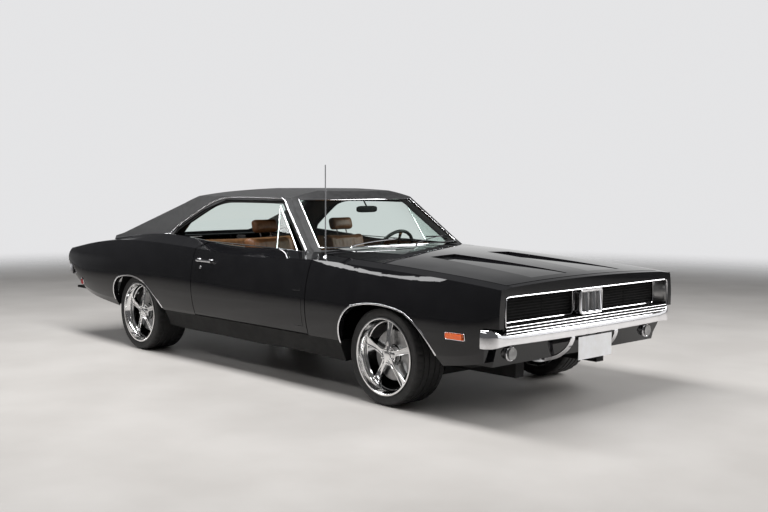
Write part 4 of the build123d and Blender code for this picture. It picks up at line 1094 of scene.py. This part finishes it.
# Wipers parked along the base of the windshield
arms, blades = [], []
for pivot, tip in ((-480, -60), (100, 520)):
    arm = [screen_point(pivot, 940, 4), screen_point(pivot + 40, 952, 12),
           screen_point((pivot + tip) / 2, 972, 13), screen_point(tip, 985, 11)]
    arms.append(sweep_data(smooth_path(arm, 5), oval(2.2, 5, 8), SCREEN_OUT))
    blade = [screen_point(tip + d, 984 - d * 0.035, 6 - abs(d) * 0.004) for d in (-220, -110, 0, 110, 200)
             if abs(tip + d) < 690]
    section = symmetric((-4, -1.5), (1, -3.5), (4, -3.5), (5, 0))
    blades.append(sweep_data(smooth_path(blade, 4), section, SCREEN_OUT))
wiper = merged("wiper_arms", arms, CHROME)
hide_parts("wipers")
merged("wiper_blades", blades, BLACK)

# Antenna base
foot = lathe([(0.01, 20), (5, 20), (7, 12), (14, 7), (19, 2), (20, 0), (0.01, 0)], 24)
merged("antenna_base", [placed(foot, lambda v: mm(-640, -815, 898) + v / 1000)], CHROME)

# Parking lamps
BEZEL = [(37, -14), (43, -10), (45, 0), (44, 6), (40, 9), (36, 7), (35, 0), (36, -14)]
LENS = [(0.01, 13), (12, 12.5), (24, 10), (33, 5), (35, 0), (35, -8), (0.01, -8)]
for side, name in SIDES.items():
    place = facing_forward(880, side * 700, 424)
    merged(f"parking_bezel_{name}", [placed(lathe(BEZEL, 40), place)], CHROME)
    merged(f"parking_lens_{name}", [placed(lathe(LENS, 40), place)], "lamp_glass")

# Tail lamps
bezels, ribs = [], []
for side in SIDES:
    low, high = sorted((side * 148, side * 744))
    loop = [mm(-4286, y, z) for y, z in rounded_box(low, high, 688, 744, 20)]
    bezels.append(sweep_data(loop, symmetric((-2, -4), (4, -4), (6, 0)), -FORWARD, closed=True))
    ribs += upright_bars(-4285, side, 172, 24, 24, 694, 738, symmetric((-2, -5), (1, -5), (3, 0)), -FORWARD)
merged("tail_lamp_bezels", bezels, CHROME)
merged("tail_lamp_ribs", ribs, "red_lens")

# Exhaust: two pipes, mufflers, tail pipes that rise over the axle, and bright tips
PIPE_Y, TAIL_Y = 300, 446
TAIL_LINE = [(-2340, 330, 183), (-2480, 372, 180), (-2600, 430, 205), (-2760, TAIL_Y, 330),
             (-2972, TAIL_Y, 396), (-3180, TAIL_Y, 384), (-3400, TAIL_Y, 318), (-3620, TAIL_Y, 290),
             (-3900, TAIL_Y, 290), (-4160, TAIL_Y, 290)]
MUFFLER_RINGS = [(-1850, 0.78), (-1866, 0.96), (-1880, 1.0), (-2100, 1.0), (-2320, 1.0), (-2334, 0.96),
                 (-2350, 0.78)]
TIP = [(26, 0), (30, 1), (31, 4), (31, 120), (27, 124), (26, 120), (25, 20), (25, 0)]
outline = boxy_oval(89, 42, 0.7, 0.8, 28)
pipes, tips = [], []
for side in SIDES:
    run = [mm(s, side * PIPE_Y, 190) for s in (-552, -900, -1300, -1700, -1860)]
    pipes.append(sweep_data(run, oval(29, 29, 20), UP))
    verts = [mm(s, side * PIPE_Y + y * grow, 183 + z * grow) for s, grow in MUFFLER_RINGS for y, z in outline]
    pipes.append((verts, ring_faces(len(MUFFLER_RINGS), 28)))
    tail = smooth_path([mm(s, side * y, z) for s, y, z in TAIL_LINE], 6)
    pipes.append(sweep_data(tail, oval(24, 24, 16), UP))
    tips.append(placed(lathe(TIP, 32), facing_forward(-4228, side * TAIL_Y, 290)))
exhaust = merged("exhaust_pipes", pipes, STEEL)
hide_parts("exhaust")
merged("exhaust_tips", tips, CHROME)

# Rear wheel housings: a half round shell and its inner wall
HOUSING_RADIUS = 392
HOUSING_Z = 345


def housing_point(degrees, y):
    turn = math.radians(degrees)
    return mm(HOUSING_RADIUS * math.cos(turn) - WHEELBASE, y, HOUSING_Z + HOUSING_RADIUS * math.sin(turn))


for side, name in SIDES.items():
    centre = mm(-WHEELBASE, side * 740, HOUSING_Z)
    tub = [housing_point(degrees, side * 740) for degrees in spaced(0, 180, 32)]
    shell = sweep_data(tub, symmetric((-2, -140), (2, -140)), [point - centre for point in tub])
    wall = [housing_point(degrees, side * 602) for degrees in range(16, 165, 4)]
    count = len(wall)
    verts = wall + [point + side * LEFT * 0.003 for point in wall]
    faces = [tuple(range(count)), tuple(range(count, 2 * count))]
    faces += [(i, (i + 1) % count, count + (i + 1) % count, count + i) for i in range(count)]
    merged(f"wheel_housing_{name}", [shell, (verts, faces)], "underbody")
